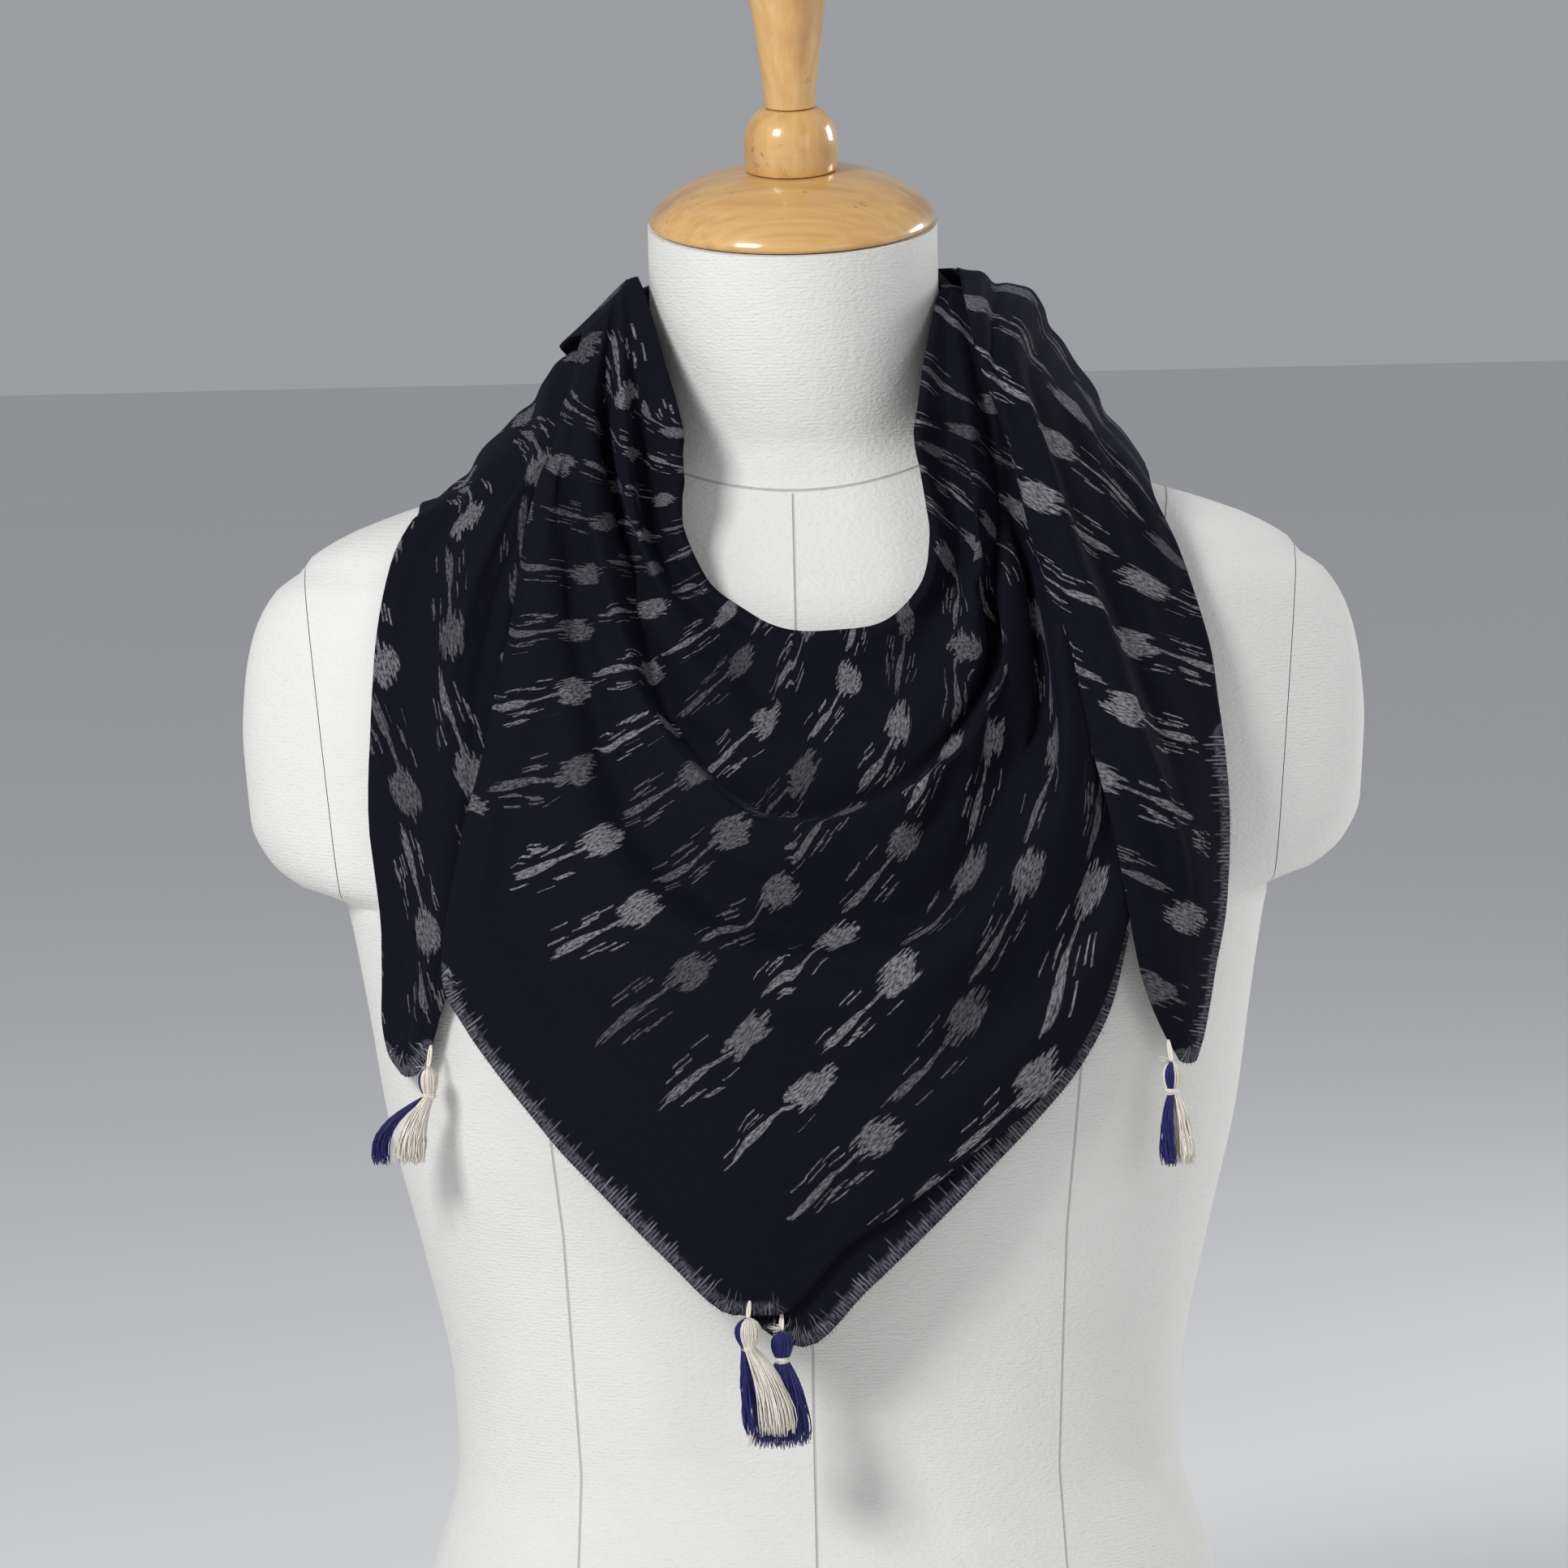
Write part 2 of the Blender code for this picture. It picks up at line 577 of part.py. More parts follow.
def tree_of(grid):
    shape = sheet_mesh(grid)
    shape.normal_update()
    tree = BVHTree.FromBMesh(shape)
    shape.free()
    return tree


def build_sheet(name, grid, finish, collection):
    shape = sheet_mesh(grid)
    mesh = bpy.data.meshes.new(name)
    shape.to_mesh(mesh)
    shape.free()
    made = add_object(name, mesh, finish, collection)
    wall = made.modifiers.new("wall", "SOLIDIFY")
    wall.thickness = WALL
    wall.offset = 0
    return made


def strand_tube(shape, line, width):
    """A strand along the points of the line, narrow at its root."""
    rings = []
    for i, point in enumerate(line):
        half = (STRAND_ROOT + (width - STRAND_ROOT) * min(1, i / 2)) / 2
        ring = []
        for side in range(STRAND_SIDES):
            turn = 2 * math.pi * (side + 0.5) / STRAND_SIDES
            corner = Vector((math.cos(turn), math.sin(turn), 0)) * half * math.sqrt(2)
            ring.append(shape.verts.new(point + corner))
        rings.append(ring)
    for high, low in zip(rings, rings[1:]):
        for i in range(STRAND_SIDES):
            after = (i + 1) % STRAND_SIDES
            shape.faces.new((low[i], low[after], high[after], high[i]))
    shape.faces.new(rings[0])
    shape.faces.new(rings[-1][::-1])


def tassel_strands(head, end, half_width):
    """Strands from inside the wrap, spread by the golden turn and falling to the skirt's lower end."""
    shape = bmesh.new()
    root_height = head.z - HEAD_HEIGHT / 2 - WRAP_HEIGHT / 2
    for i in range(STRANDS):
        turn = i * GOLDEN_TURN
        share = math.sqrt((i + 0.5) / STRANDS)
        around = Vector((math.cos(turn), math.sin(turn), 0)) * share
        root = Vector((head.x, head.y, root_height)) + around * (WRAP_RADIUS - STRAND_ROOT)
        tip = end + Vector((around.x, around.y * SKIRT_THICKNESS, 0)) * half_width * MM
        tip.z += (i % STRAND_END_STEPS) * STRAND_END_STEP
        line = []
        for step in range(STRAND_RINGS + 1):
            t = step / STRAND_RINGS
            spread = t * (2 - t) if step else 0
            line.append(Vector((
                root.x + (tip.x - root.x) * spread,
                root.y + (tip.y - root.y) * spread,
                root.z + (tip.z - root.z) * t,
            )))
        strand_tube(shape, line, STRAND_WIDTH)
    return shape


def helper(name, shape, collection):
    """A shape that is only joined to another: kept out of the render."""
    mesh = bpy.data.meshes.new(name)
    shape.to_mesh(mesh)
    shape.free()
    made = bpy.data.objects.new(name, mesh)
    made.hide_render = True
    made.display_type = "WIRE"
    collection.objects.link(made)
    return made


def loop_shape(root, stitch, cloth):
    """The loop, from inside the head up to GAP away from the cloth that it is sewn to."""
    near, normal, _, _ = cloth.find_nearest(root + Vector((0, 0, stitch * MM)))
    out = (root + Vector((0, 0, stitch * MM)) - near).normalized()
    end = near + out * (GAP + LOOP_RADIUS + abs(out.dot(normal)) * WALL / 2)
    shape = bmesh.new()
    bmesh.ops.create_cone(
        shape, cap_ends=True, segments=LOOP_SIDES, radius1=LOOP_RADIUS, radius2=LOOP_RADIUS,
        depth=(end - root).length)
    turn = (end - root).to_track_quat("Z", "Y").to_matrix()
    bmesh.ops.rotate(shape, cent=(0, 0, 0), matrix=turn, verts=shape.verts)
    bmesh.ops.translate(shape, vec=(root + end) / 2, verts=shape.verts)
    return shape


def build_tassel(row, cloth, finish, collection, helpers):
    name, head_place, end_place, half_width, lift, stitch = row
    head = on_hull(*head_place, lift)
    end = seen(*end_place, head.y)
    ball = bmesh.new()
    bmesh.ops.create_uvsphere(ball, u_segments=HEAD_AROUND, v_segments=HEAD_RINGS, radius=HEAD_RADIUS)
    bmesh.ops.scale(ball, vec=(1, 1, HEAD_HEIGHT / 2 / HEAD_RADIUS), verts=ball.verts)
    bmesh.ops.translate(ball, vec=head, verts=ball.verts)
    mesh = bpy.data.meshes.new(name)
    ball.to_mesh(mesh)
    ball.free()
    made = add_object(name, mesh, finish, collection)

    wrap = bmesh.new()
    bmesh.ops.create_cone(
        wrap, cap_ends=True, segments=WRAP_SIDES, radius1=WRAP_RADIUS,
        radius2=WRAP_RADIUS * WRAP_NARROWING, depth=WRAP_HEIGHT)
    bmesh.ops.translate(wrap, vec=head - Vector((0, 0, HEAD_HEIGHT / 2)), verts=wrap.verts)
    root = head + Vector((0, 0, HEAD_HEIGHT / 2 - LOOP_SUNK))
    added = [
        helper(name + "_wrap", wrap, helpers),
        helper(name + "_loop", loop_shape(root, stitch, cloth), helpers),
        helper(name + "_strands", tassel_strands(head, end, half_width), helpers),
    ]
    for other in added:
        join = made.modifiers.new(other.name, "BOOLEAN")
        join.operation = "UNION"
        join.solver = "EXACT"
        join.object = other
    return made


def main():
    clear_scene()
    parts = bpy.data.collections.new("ikat scarf on a dress form")
    helpers = bpy.data.collections.new("joined shapes")
    for collection in (parts, helpers):
        bpy.context.scene.collection.children.link(collection)
    cover = material("form cover", (0.74, 0.73, 0.70), 0.85)
    wood = material("varnished wood", (0.62, 0.36, 0.12), 0.3)
    cotton = material("ikat cotton", (0.012, 0.012, 0.022), 0.85)
    thread = material("tassel thread", (0.82, 0.76, 0.64), 0.7)

    build_form(cover, parts)
    build_turned("neck_cap", CAP_PROFILE, wood, parts)
    build_turned("cap_ball", BALL_PROFILE, wood, parts)
    build_turned("cap_handle", HANDLE_PROFILE, wood, parts)

    whole = form_mesh()
    whole.normal_update()
    body = BVHTree.FromBMesh(whole)
    whole.free()
    off_body = (body, CLEAR_OF_FORM, 0)
    left = push_off(end_grid(LEFT_BAND, LEFT_BAND_OFF, LEFT_END_FRONT, LEFT_END_LIFTS), [off_body])
    off_left = (tree_of(left), LAYER_STEP, WALL / 2)
    under = push_off(under_grid(), [off_body])
    off_under = (tree_of(under), LAYER_STEP, 0)
    front = push_off(front_grid(), [off_body, off_left, off_under])
    off_front = (tree_of(front), LAYER_STEP, 0)
    right = end_grid(RIGHT_BAND, RIGHT_BAND_OFF, RIGHT_END_FRONT, RIGHT_END_LIFTS)
    right = push_off(right, [off_body, off_left, off_under, off_front])
    stretches = (
        ("scarf_front", front),
        ("scarf_end_left", left),
        ("scarf_end_right", right),
        ("scarf_front_under", under),
    )
    for name, grid in stretches:
        build_sheet(name, grid, cotton, parts)
    for row, grid in zip(TASSELS, (left, right, front, under)):
        build_tassel(row, tree_of(grid), thread, parts, helpers)


main()
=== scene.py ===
"""An ikat scarf, worn point to the front on a dress form: the looks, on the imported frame.

The front of the scarf is given as it looks from the camera: mm right of and above the middle of the picture.
The cloth is the same sheets as in the frame, in finer rows and with their smaller creases.
"""

import math

import bmesh
import bpy
import numpy as np
from mathutils import Matrix, Vector, noise
from mathutils.bvhtree import BVHTree


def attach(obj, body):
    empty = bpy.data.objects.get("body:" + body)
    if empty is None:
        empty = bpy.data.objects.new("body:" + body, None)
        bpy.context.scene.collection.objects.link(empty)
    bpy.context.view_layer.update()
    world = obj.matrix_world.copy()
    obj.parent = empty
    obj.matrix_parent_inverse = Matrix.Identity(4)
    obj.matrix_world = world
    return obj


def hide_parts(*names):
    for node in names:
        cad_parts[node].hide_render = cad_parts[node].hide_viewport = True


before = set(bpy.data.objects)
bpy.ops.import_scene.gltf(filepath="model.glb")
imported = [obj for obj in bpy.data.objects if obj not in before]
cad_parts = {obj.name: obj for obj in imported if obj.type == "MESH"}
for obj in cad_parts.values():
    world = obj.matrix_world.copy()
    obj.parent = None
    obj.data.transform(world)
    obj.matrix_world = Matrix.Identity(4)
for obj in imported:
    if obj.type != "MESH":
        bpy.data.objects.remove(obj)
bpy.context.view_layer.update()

MM = 0.001

# Camera
VIEW_DISTANCE = 3.0
VIEW_DROP = math.radians(5.0)
VIEW_ROLL = math.radians(1.3)
VIEW_MIDDLE = np.array([-0.0077, 0.0, 0.410])
VIEW_WIDTH = 0.5796

# Cloth, in metres
CLOTH_WALL = 0.0007
OFF_FORM = 0.0011
OFF_LAYER = 0.0016
LAYER_REACH = 0.025
BESIDE_EDGE = 1e-7
FORM_CORE = np.array([0.3, 0.3, 1.0])
FORM_CORE_DROP = np.array([0, 0, 0.02])
FRONT_FACING = 0.02
SHORTEST_STEP = 1e-7
CREASE_STEPS = 6
CREASE_ENDS = (0.02, 0.98)
CREASE_FADE = 0.7
# Unevenness of the cloth: height and size in metres
UNEVENNESS = ((0.0005, 0.016), (0.0011, 0.05))
ROW_STEPS = 5
COLUMN_STEPS = 5
TURN_IN_STEPS = 3

# Front panel, in rays round the middle of the neck: degrees from straight down, then mm along the ray
FAN_MIDDLE = (3.6, 121.8)
FRONT_RADII = [
    # angle, edge, crease, roll, valley, rim, hollow, low rim, dip, swell, hem
    (-112, 48, 62, 68, 75, 79, 81, 82, 83, 84, 86),
    (-96, 43, 58, 63, 70, 76, 79, 82, 84, 86, 88),
    (-80, 42, 56, 62, 69, 77, 85, 88, 91, 94, 97),
    (-60, 48, 59, 65, 72, 82, 94, 100, 108, 115, 121),
    (-45, 53, 63, 70, 81, 92, 110, 124, 140, 154, 166),
    (-34, 57, 66, 77, 93, 103, 126, 150, 190, 212, 232),
    (-18, 61, 72, 92, 117, 122, 156, 177, 220, 246, 274),
    (-2, 65, 94, 112, 134, 138, 174, 189, 229, 256, 320),
    (14, 67, 94, 112, 130, 134, 176, 190, 226, 246, 268),
    (30, 70, 88, 104, 120, 125, 150, 176, 206, 220, 232),
    (42, 68, 80, 94, 108, 113, 132, 152, 176, 188, 196),
    (56, 61, 74, 82, 89, 94, 104, 119, 134, 140, 146),
    (74, 50, 61, 70, 78, 82, 88, 100, 106, 109, 112),
    (92, 46, 56, 65, 73, 76, 79, 85, 88, 90, 92),
    (108, 50, 59, 67, 73, 76, 79, 83, 86, 88, 90),
]
FRONT_LIFTS = [
    # angle, then mm out from the hull on the same ten lines
    (-112, 5, -2, 7, -3, 5, 6, 6, 6, 5, 3),
    (-96, 5, -3, 8, -5, 6, 6, 6, 7, 6, 3),
    (-80, 6, -4, 8, -7, 7, 6, 6, 8, 8, 4),
    (-60, 5, -4, 8, -8, 9, 3, 6, 9, 10, 4),
    (-45, 4, -3, 6, -8, 10, 2, 6, 10, 11, 5),
    (-34, 3, -3, 4, -7, 11, 0, 8, 4, 8, 6),
    (-18, 2, -4, 1, -6, 12, -1, 10, 0, 7, 3),
    (-2, 2, -4, 0, -5, 12, -3, 10, -1, 6, 0),
    (14, 3, -4, 0, -5, 12, -6, 10, -1, 6, 1),
    (30, 4, -3, 2, -5, 12, -8, 12, 0, 5, 2),
    (42, 5, -3, 5, -6, 9, -9, 13, 2, 4, 2),
    (56, 6, -4, 9, -8, 0, -9, 12, 3, 2, 0),
    (74, 8, -3, 10, -8, -7, -7, 8, 1, 0, -2),
    (92, 8, -2, 8, -4, -2, -2, 2, 0, -1, -2),
    (108, 6, -1, 5, -1, 0, 0, 0, 0, -1, -1),
]
FRONT_HEM = [(-34, 232), (-30, 244), (-22, 262), (-14, 284), (-4, 319), (-1, 318), (4, 293), (10, 277),
             (15, 266), (21, 256), (26, 244), (36, 211)]
FRONT_STEPS = (2, 2, 2, 2, 3, 2, 2, 2, 3)
FRONT_TURN_IN = np.array([(2, 7.5), (0.5, 5), (0, 2.5)])
FLAT_EDGE = np.array([(-2.4, 1.2), (-1.6, 0.6), (-0.8, 0.2)])
EDGE_ROUNDING = 3
TUCK_SHARE = ((74, 100), (1.0, 0.0))
NECK_SIDE_TURN_IN = ((-0.024, 1.0), (-0.016, 0.5), (-0.008, 0.2))
FRONT_HEM_ANGLES = np.array([-34, -30, -26, -22, -18, -14, -9, -4, -1, 4, 8, 12, 16, 20, 24, 28, 32, 36])
FRONT_SIDE_ANGLES = np.array([41, 47, 53, 60, 68, 76, 84, 92, 100, 107])

# Second layer below the right hem: degrees, then mm along the ray
UNDER_INNER = [(-22, 190), (-12, 200), (5, 205), (25, 190), (36, 170)]
UNDER_HEM = [(-22, 258), (-12, 284), (-5, 312), (0.6, 330), (6, 306), (10, 291), (15, 275), (20, 262),
             (25, 250), (31, 232), (35, 216)]
UNDER_ANGLES = np.array([-22, -12, -5, 0.6, 5, 10, 15, 20, 25, 30, 35])
UNDER_DROP = 3.4
UNDER_STEPS = 5

# Ends over the front: sections of four points, mm right of and above the middle of the picture
LEFT_END_FRONT = [
    # inner, ridge, valley, outer
    ((-66, 142), (-90, 122), (-108, 109), (-137, 97)),
    ((-80, 112), (-103, 98), (-121, 89), (-144, 85)),
    ((-95, 78), (-115, 66), (-131, 61), (-150, 57)),
    ((-103, 35), (-121, 34), (-137, 33), (-152, 32)),
    ((-107, -10), (-123, -10), (-139, -10), (-153, -10)),
    ((-116, -55), (-127, -55), (-138, -55), (-148.5, -55)),
    ((-127, -85), (-134, -85), (-141, -85), (-148, -85)),
    ((-131, -99), (-136, -100), (-141, -100), (-146, -99)),
    ((-135, -107), (-137, -108), (-139, -108), (-141, -107)),
]
LEFT_END_LIFTS = [
    (-4, 1, -4, -1),
    (-4, 2, -4, -1),
    (-4, 2, -4, -1),
    (-4, 1, -3, -1),
    (-4, 0, -3, -1),
    (-4, 0, -2, -1),
    (-3, 0, -2, -1),
    (-2, -1, -1, -1),
    (-1, -1, -1, -1),
]
RIGHT_END_FRONT = [
    ((70, 163), (84, 158), (104, 141), (137, 107)),
    ((83, 126), (96, 122), (116, 112), (146, 88)),
    ((94, 86), (107, 82), (128, 76), (152, 70)),
    ((105, 50), (121, 48), (137, 48), (158, 48)),
    ((112, 20), (130, 18), (144, 18), (162, 18)),
    ((120, -10), (142, -11), (152, -11), (164.5, -11)),
    ((126, -40), (147, -41), (156, -41), (164, -41)),
    ((132, -70), (147, -71), (153, -71), (159, -70)),
    ((140, -91), (148, -92), (152, -92), (155.5, -91)),
    ((146, -102), (148, -103), (150, -103), (152, -102)),
]
RIGHT_END_LIFTS = [
    (13, 18, 8, 3),
    (9, 19, 7, 4),
    (7, 20, 7, 5),
    (11, 19, 7, 5),
    (10, 17, 7, 5),
    (8, 13, 8, 5),
    (6, 10, 8, 5),
    (5, 8, 7, 5),
    (4, 6, 6, 5),
    (4, 5, 5, 4),
]

# Collar surface round the neck: plan angle from the front, then mm.
# top edge out and up, lower edge out and up, and how hollow (under 1) or full (over 1) the slope is
COLLAR_SECTIONS = [
    (70, 57, 590, 112, 530, 1.4),
    (100, 58, 590, 122, 517, 1.55),
    (120, 60, 591, 120, 500, 1.05),
    (150, 66, 598, 115, 480, 0.75),
    (180, 70, 602, 108, 470, 0.65),
    (210, 66, 598, 116, 480, 0.75),
    (240, 61, 589, 126, 494, 0.95),
    (260, 57, 589, 137, 511, 1.05),
    (290, 56, 591, 135, 515, 1.0),
]
# Each band over the collar: plan angle, and the shares of the slope where it starts and ends
LEFT_BAND = [(111.5, 0.0, 0.24), (135, 0.0, 0.36), (158, 0.0, 0.5), (180, 0.0, 0.64), (203, 0.0, 0.78),
             (225, 0.0, 0.9), (248, 0.02, 1.0), (268, 0.06, 1.0)]
RIGHT_BAND = [(248.5, 0.0, 0.3), (225, 0.0, 0.4), (203, 0.0, 0.52), (180, 0.0, 0.66), (157, 0.0, 0.8),
              (135, 0.0, 0.92), (112, 0.0, 1.0), (92, 0.0, 1.0)]
LEFT_BAND_OFF = (2, 4, 1, 2)
RIGHT_BAND_OFF = (9, 14, 8, 8)
BAND_START = (0.5, 0.8)
BAND_LINES = (0, 0.3, 0.65, 1)
LEFT_NECK_SIDE = [(288, 0.24), (275, 0.29), (262, 0.31), (249, 0.32)]
RIGHT_NECK_SIDE = [(72, 0.2), (85, 0.22), (98, 0.23), (111, 0.24)]
END_STEPS = (4, 4, 4)

# Outer hull of the draped cloth at the front: mm. height, half width, depth in front of the axis
HULL_SECTIONS = [
    (190, 158, 128),
    (250, 160, 128),
    (300, 164, 127),
    (340, 172, 125),
    (370, 180, 120),
    (400, 187, 112),
    (430, 190, 100),
    (466, 187, 84),
    (497, 176, 74),
    (520, 156, 70),
    (545, 126, 68),
    (570, 92, 66),
    (600, 66, 62),
    (620, 60, 60),
]
HULL_ROUNDNESS = 2.2

# Small creases on the front view: mm places along each, its half width and its height off the cloth
FRONT_CREASES = [
    ([(-71, 156), (-73, 129), (-67, 105), (-60, 80), (-48, 58), (-31, 36)], 4.0, 3.2),
    ([(-64, 156), (-67, 134), (-63, 107), (-56, 85), (-40, 58), (-24, 45)], 2.8, -3.4),
    ([(-50, 160), (-54, 142), (-52, 116), (-48, 96), (-40, 80), (-26, 67)], 2.6, -2.6),
    ([(-82, 134), (-82, 116), (-76, 94), (-71, 72), (-60, 49), (-46, 26)], 3.4, -3.8),
    ([(-81, 110), (-77, 71), (-70, 29), (-62, 2), (-50, -13)], 4.5, -2.6),
    ([(-89, 108), (-86, 70), (-80, 27), (-72, -6)], 6.0, 1.4),
    ([(-98, 80), (-110, 20), (-119, -40)], 7.0, -1.4),
    ([(-80, -64), (-50, -88), (-11, -103), (28, -100), (64, -82)], 8.0, 2.2),
    ([(-104, -79), (-74, -109), (-35, -130), (4, -130)], 9.0, -1.6),
    ([(-86, -36), (-58, -58), (-24, -72), (14, -74), (46, -64)], 6.0, -1.8),
    ([(75, 122), (84, 80), (88, 32), (87, -10)], 4.0, 4.4),
    ([(81, 110), (91, 65), (97, 20), (98, -25)], 3.2, -4.2),
    ([(67, 20), (58, -10), (40, -34)], 4.5, -4.2),
    ([(60, 118), (68, 84), (71, 52), (62, 26), (44, 6)], 3.0, 3.0),
    ([(66, 96), (77, 60), (78, 20), (70, -12)], 2.8, -3.6),
    ([(82, -34), (64, -64), (37, -82)], 5.0, 2.2),
    ([(96, -30), (86, -66), (66, -98), (40, -122)], 6.0, -1.8),
    ([(-20, 38), (10, 29), (34, 35)], 6.0, -1.4),
    ([(-38, -13), (-11, -28), (16, -25)], 5.0, 1.5),
    ([(22, 18), (48, 34), (62, 56)], 4.0, 1.6),
    ([(-41, -150), (-18, -172), (0, -190)], 8.0, 1.4),
    ([(30, -130), (14, -158), (-2, -180)], 7.0, -1.2),
    ([(-52, 40), (-34, 18), (-8, 6)], 3.5, -1.8),
    ([(62, 140), (70, 104), (72, 66), (64, 34)], 3.0, -2.2),
]
LEFT_CREASES = [
    ([(-104, 122), (-119, 62), (-123, 2), (-126, -55)], 8.0, 2.2),
    ([(-122, 104), (-137, 50), (-140, -10), (-139, -60)], 6.5, -1.8),
    ([(-92, 132), (-104, 96), (-110, 50)], 5.0, -1.6),
    ([(-146, 60), (-149, 10), (-147, -40)], 6.0, 1.2),
]
RIGHT_CREASES = [
    ([(84, 133), (101, 82), (124, 32), (139, -17)], 4.5, 2.6),
    ([(89, 149), (111, 98), (130, 50), (144, 11), (150, -30)], 4.0, -3.4),
    ([(112, 140), (136, 95), (151, 44)], 6.5, 1.8),
    ([(130, 124), (146, 80), (156, 34)], 5.0, -1.6),
    ([(130, 20), (142, -25), (151, -70)], 5.5, -1.6),
    ([(122, 4), (133, -38), (141, -74)], 5.0, 1.6),
]
# Soft pleats round the nape, as shares of the band: where they have risen, and where they have gone.
# Then for each its place across the band, half width, height in mm, and drift
PLEATS_IN = 0.2
PLEATS_OUT = 1.9
BAND_PLEATS = [
    (0.10, 0.045, 1.6, 0.05),
    (0.24, 0.040, -2.4, 0.07),
    (0.37, 0.050, 2.2, 0.04),
    (0.52, 0.045, -2.2, -0.06),
    (0.66, 0.060, 2.0, 0.05),
    (0.81, 0.045, -1.6, -0.04),
]

# Form: mm. height, half width, front and back from the middle, middle, rise to the back, roundness, arm
FORM_SECTIONS = [
    (0, 162, 101, 104, 0, 0.0, 2.2, 0),
    (5, 166, 105, 108, 0, 0.0, 2.2, 0),
    (60, 157, 100, 100, 0, 0.0, 2.2, 0),
    (120, 145, 93, 90, 0, 0.0, 2.2, 0),
    (163, 134, 88, 80, 0, 0.0, 2.2, 0),
    (190, 135, 90, 80, 0, 0.0, 2.2, 0),
    (240, 145, 98, 83, 0, 0.0, 2.2, 0),
    (290, 157, 110, 88, 0, 0.0, 2.2, 0),
    (330, 163, 116, 93, 0, 0.0, 2.2, 0),
    (360, 168, 113, 96, 0, 0.0, 2.2, 0),
    (371, 170, 110, 97, 0, 0.0, 2.2, 0),
    (377, 170, 109, 98, 0, 0.0, 2.2, 17),
    (386, 171, 107, 98, 0, 0.0, 2.2, 27),
    (401, 172, 102, 99, 0, 0.0, 2.2, 33),
    (428, 175, 92, 100, 0, 0.0, 2.2, 32),
    (450, 178, 83, 98, 0, 0.0, 2.2, 28),
    (470, 181, 74, 94, 0, 0.0, 2.2, 21),
    (486, 183, 67, 88, 0, 0.0, 2.2, 10),
    (495, 182, 61, 84, 0, 0.0, 2.1, 0),
    (504, 170, 57, 80, 0, 0.0, 2.1, 0),
    (514, 144, 54, 73, 1, 0.02, 2.0, 0),
    (522, 115, 52, 67, 2, 0.04, 2.0, 0),
    (531, 85, 51, 61, 3, 0.08, 2.0, 0),
    (541, 64, 51, 56, 3, 0.12, 2.0, 0),
    (556, 55, 52, 54, 0, 0.17, 2.0, 0),
    (580, 53, 53, 53, -5, 0.20, 2.0, 0),
    (617, 53, 53, 53, -12, 0.2126, 2.0, 0),
]
FORM_SIDES = 160
FORM_RING_GAP = 4.0
ARM_FOCUS = 8
BELOW_ARMS = 0.36
ARMHOLE_LOW = Vector((0.170, 0, 0.373))
ARMHOLE_HIGH = Vector((0.182, 0, 0.495))
SEAM_GAP = 0.0003
SHARP_FORM = math.radians(40)
SHARP_WOOD = math.radians(30)
PROFILE_STEPS = 3
# Seams of the cover. Princess seams: mm up, and mm out from the middle there. Neck seam: height and rise in m
PRINCESS_SEAM = ((0, 128, 165, 187, 256, 308, 360, 420, 470, 530),
                 (104, 89, 87, 88, 91, 96, 100, 112, 125, 138))
MIDDLE_SEAM = -0.002
NO_SEAM = 1.0
NECK_SEAM = (0.521, 0.007, 0.043)

# Wooden cap: mm along the leaning neck axis, from the top of the neck. radius, height, smooth to the next
NECK_TOP = Vector((0, -0.012, 0.617))
NECK_LEAN = math.atan(0.2126)
CAP_PROFILE = [(50.8, 0.35), (51.7, 0.6), (52.35, 1.3), (52.5, 2.1), (52.1, 3.3), (50.6, 5.6), (48, 8.2),
               (44.4, 11), (40, 13.6), (34.5, 16), (28, 18.1), (22.5, 19.3), (17, 19.9), (13.4, 20.02)]
BALL_PROFILE = [(16.3, 20.3), (16.6, 20.6), (16.8, 21.6), (17.05, 23.6), (17.25, 26), (17.35, 28.6),
                (17.3, 31), (16.9, 33.6), (16.1, 36.2), (14.9, 38.6), (13.2, 40.8), (11.4, 42.3),
                (9.9, 43.2), (8.6, 43.5)]
HANDLE_PROFILE = [(9, 43.8), (9.4, 44.1), (9.45, 45.4), (9.55, 47.6), (9.85, 51), (10.3, 55), (10.9, 60),
                  (11.65, 66), (12.45, 72), (13.5, 79.5), (14.6, 87), (15.4, 94.5), (15.8, 102), (15.7, 108),
                  (15, 113.4), (13.9, 118), (12, 122.8), (10.2, 126.6), (8, 129.8),
                  (5.8, 131.5), (3.4, 132.6)]
TURNED_SIDES = 96

# Tassels: mm right of and above the middle of the picture, as in the frame
TASSELS = [
    # name, head, skirt end, half width of the skirt, lift off the hull, length of the loop
    ("left", (-131.5, -110), (-139.5, -138.5), 6.5, 5.0, 8.0),
    ("right", (143.5, -108), (146.5, -139), 5.5, 10.0, 8.0),
    ("front_upper", (-13.3, -202.8), (-4.0, -238.5), 8.3, 7.0, 5.5),
    ("front_lower", (-0.8, -207.5), (-2.5, -243), 10.5, 0.5, 7.0),
]
# Blue thread of each: degrees round from the front to its middle, its share, mm it swings right, loose ends
BLUE_THREAD = {
    "left": (-102, 0.29, -5.5, 3),
    "right": (-24, 0.21, -2.5, 9),
    "front_upper": (-78, 0.20, -2.0, 5),
    "front_lower": (36, 0.66, 1.5, 16),
}
HEAD_RADII = {"left": 0.0038, "right": 0.0036, "front_upper": 0.0050, "front_lower": 0.0041}
HEAD_HEIGHT = 0.0105
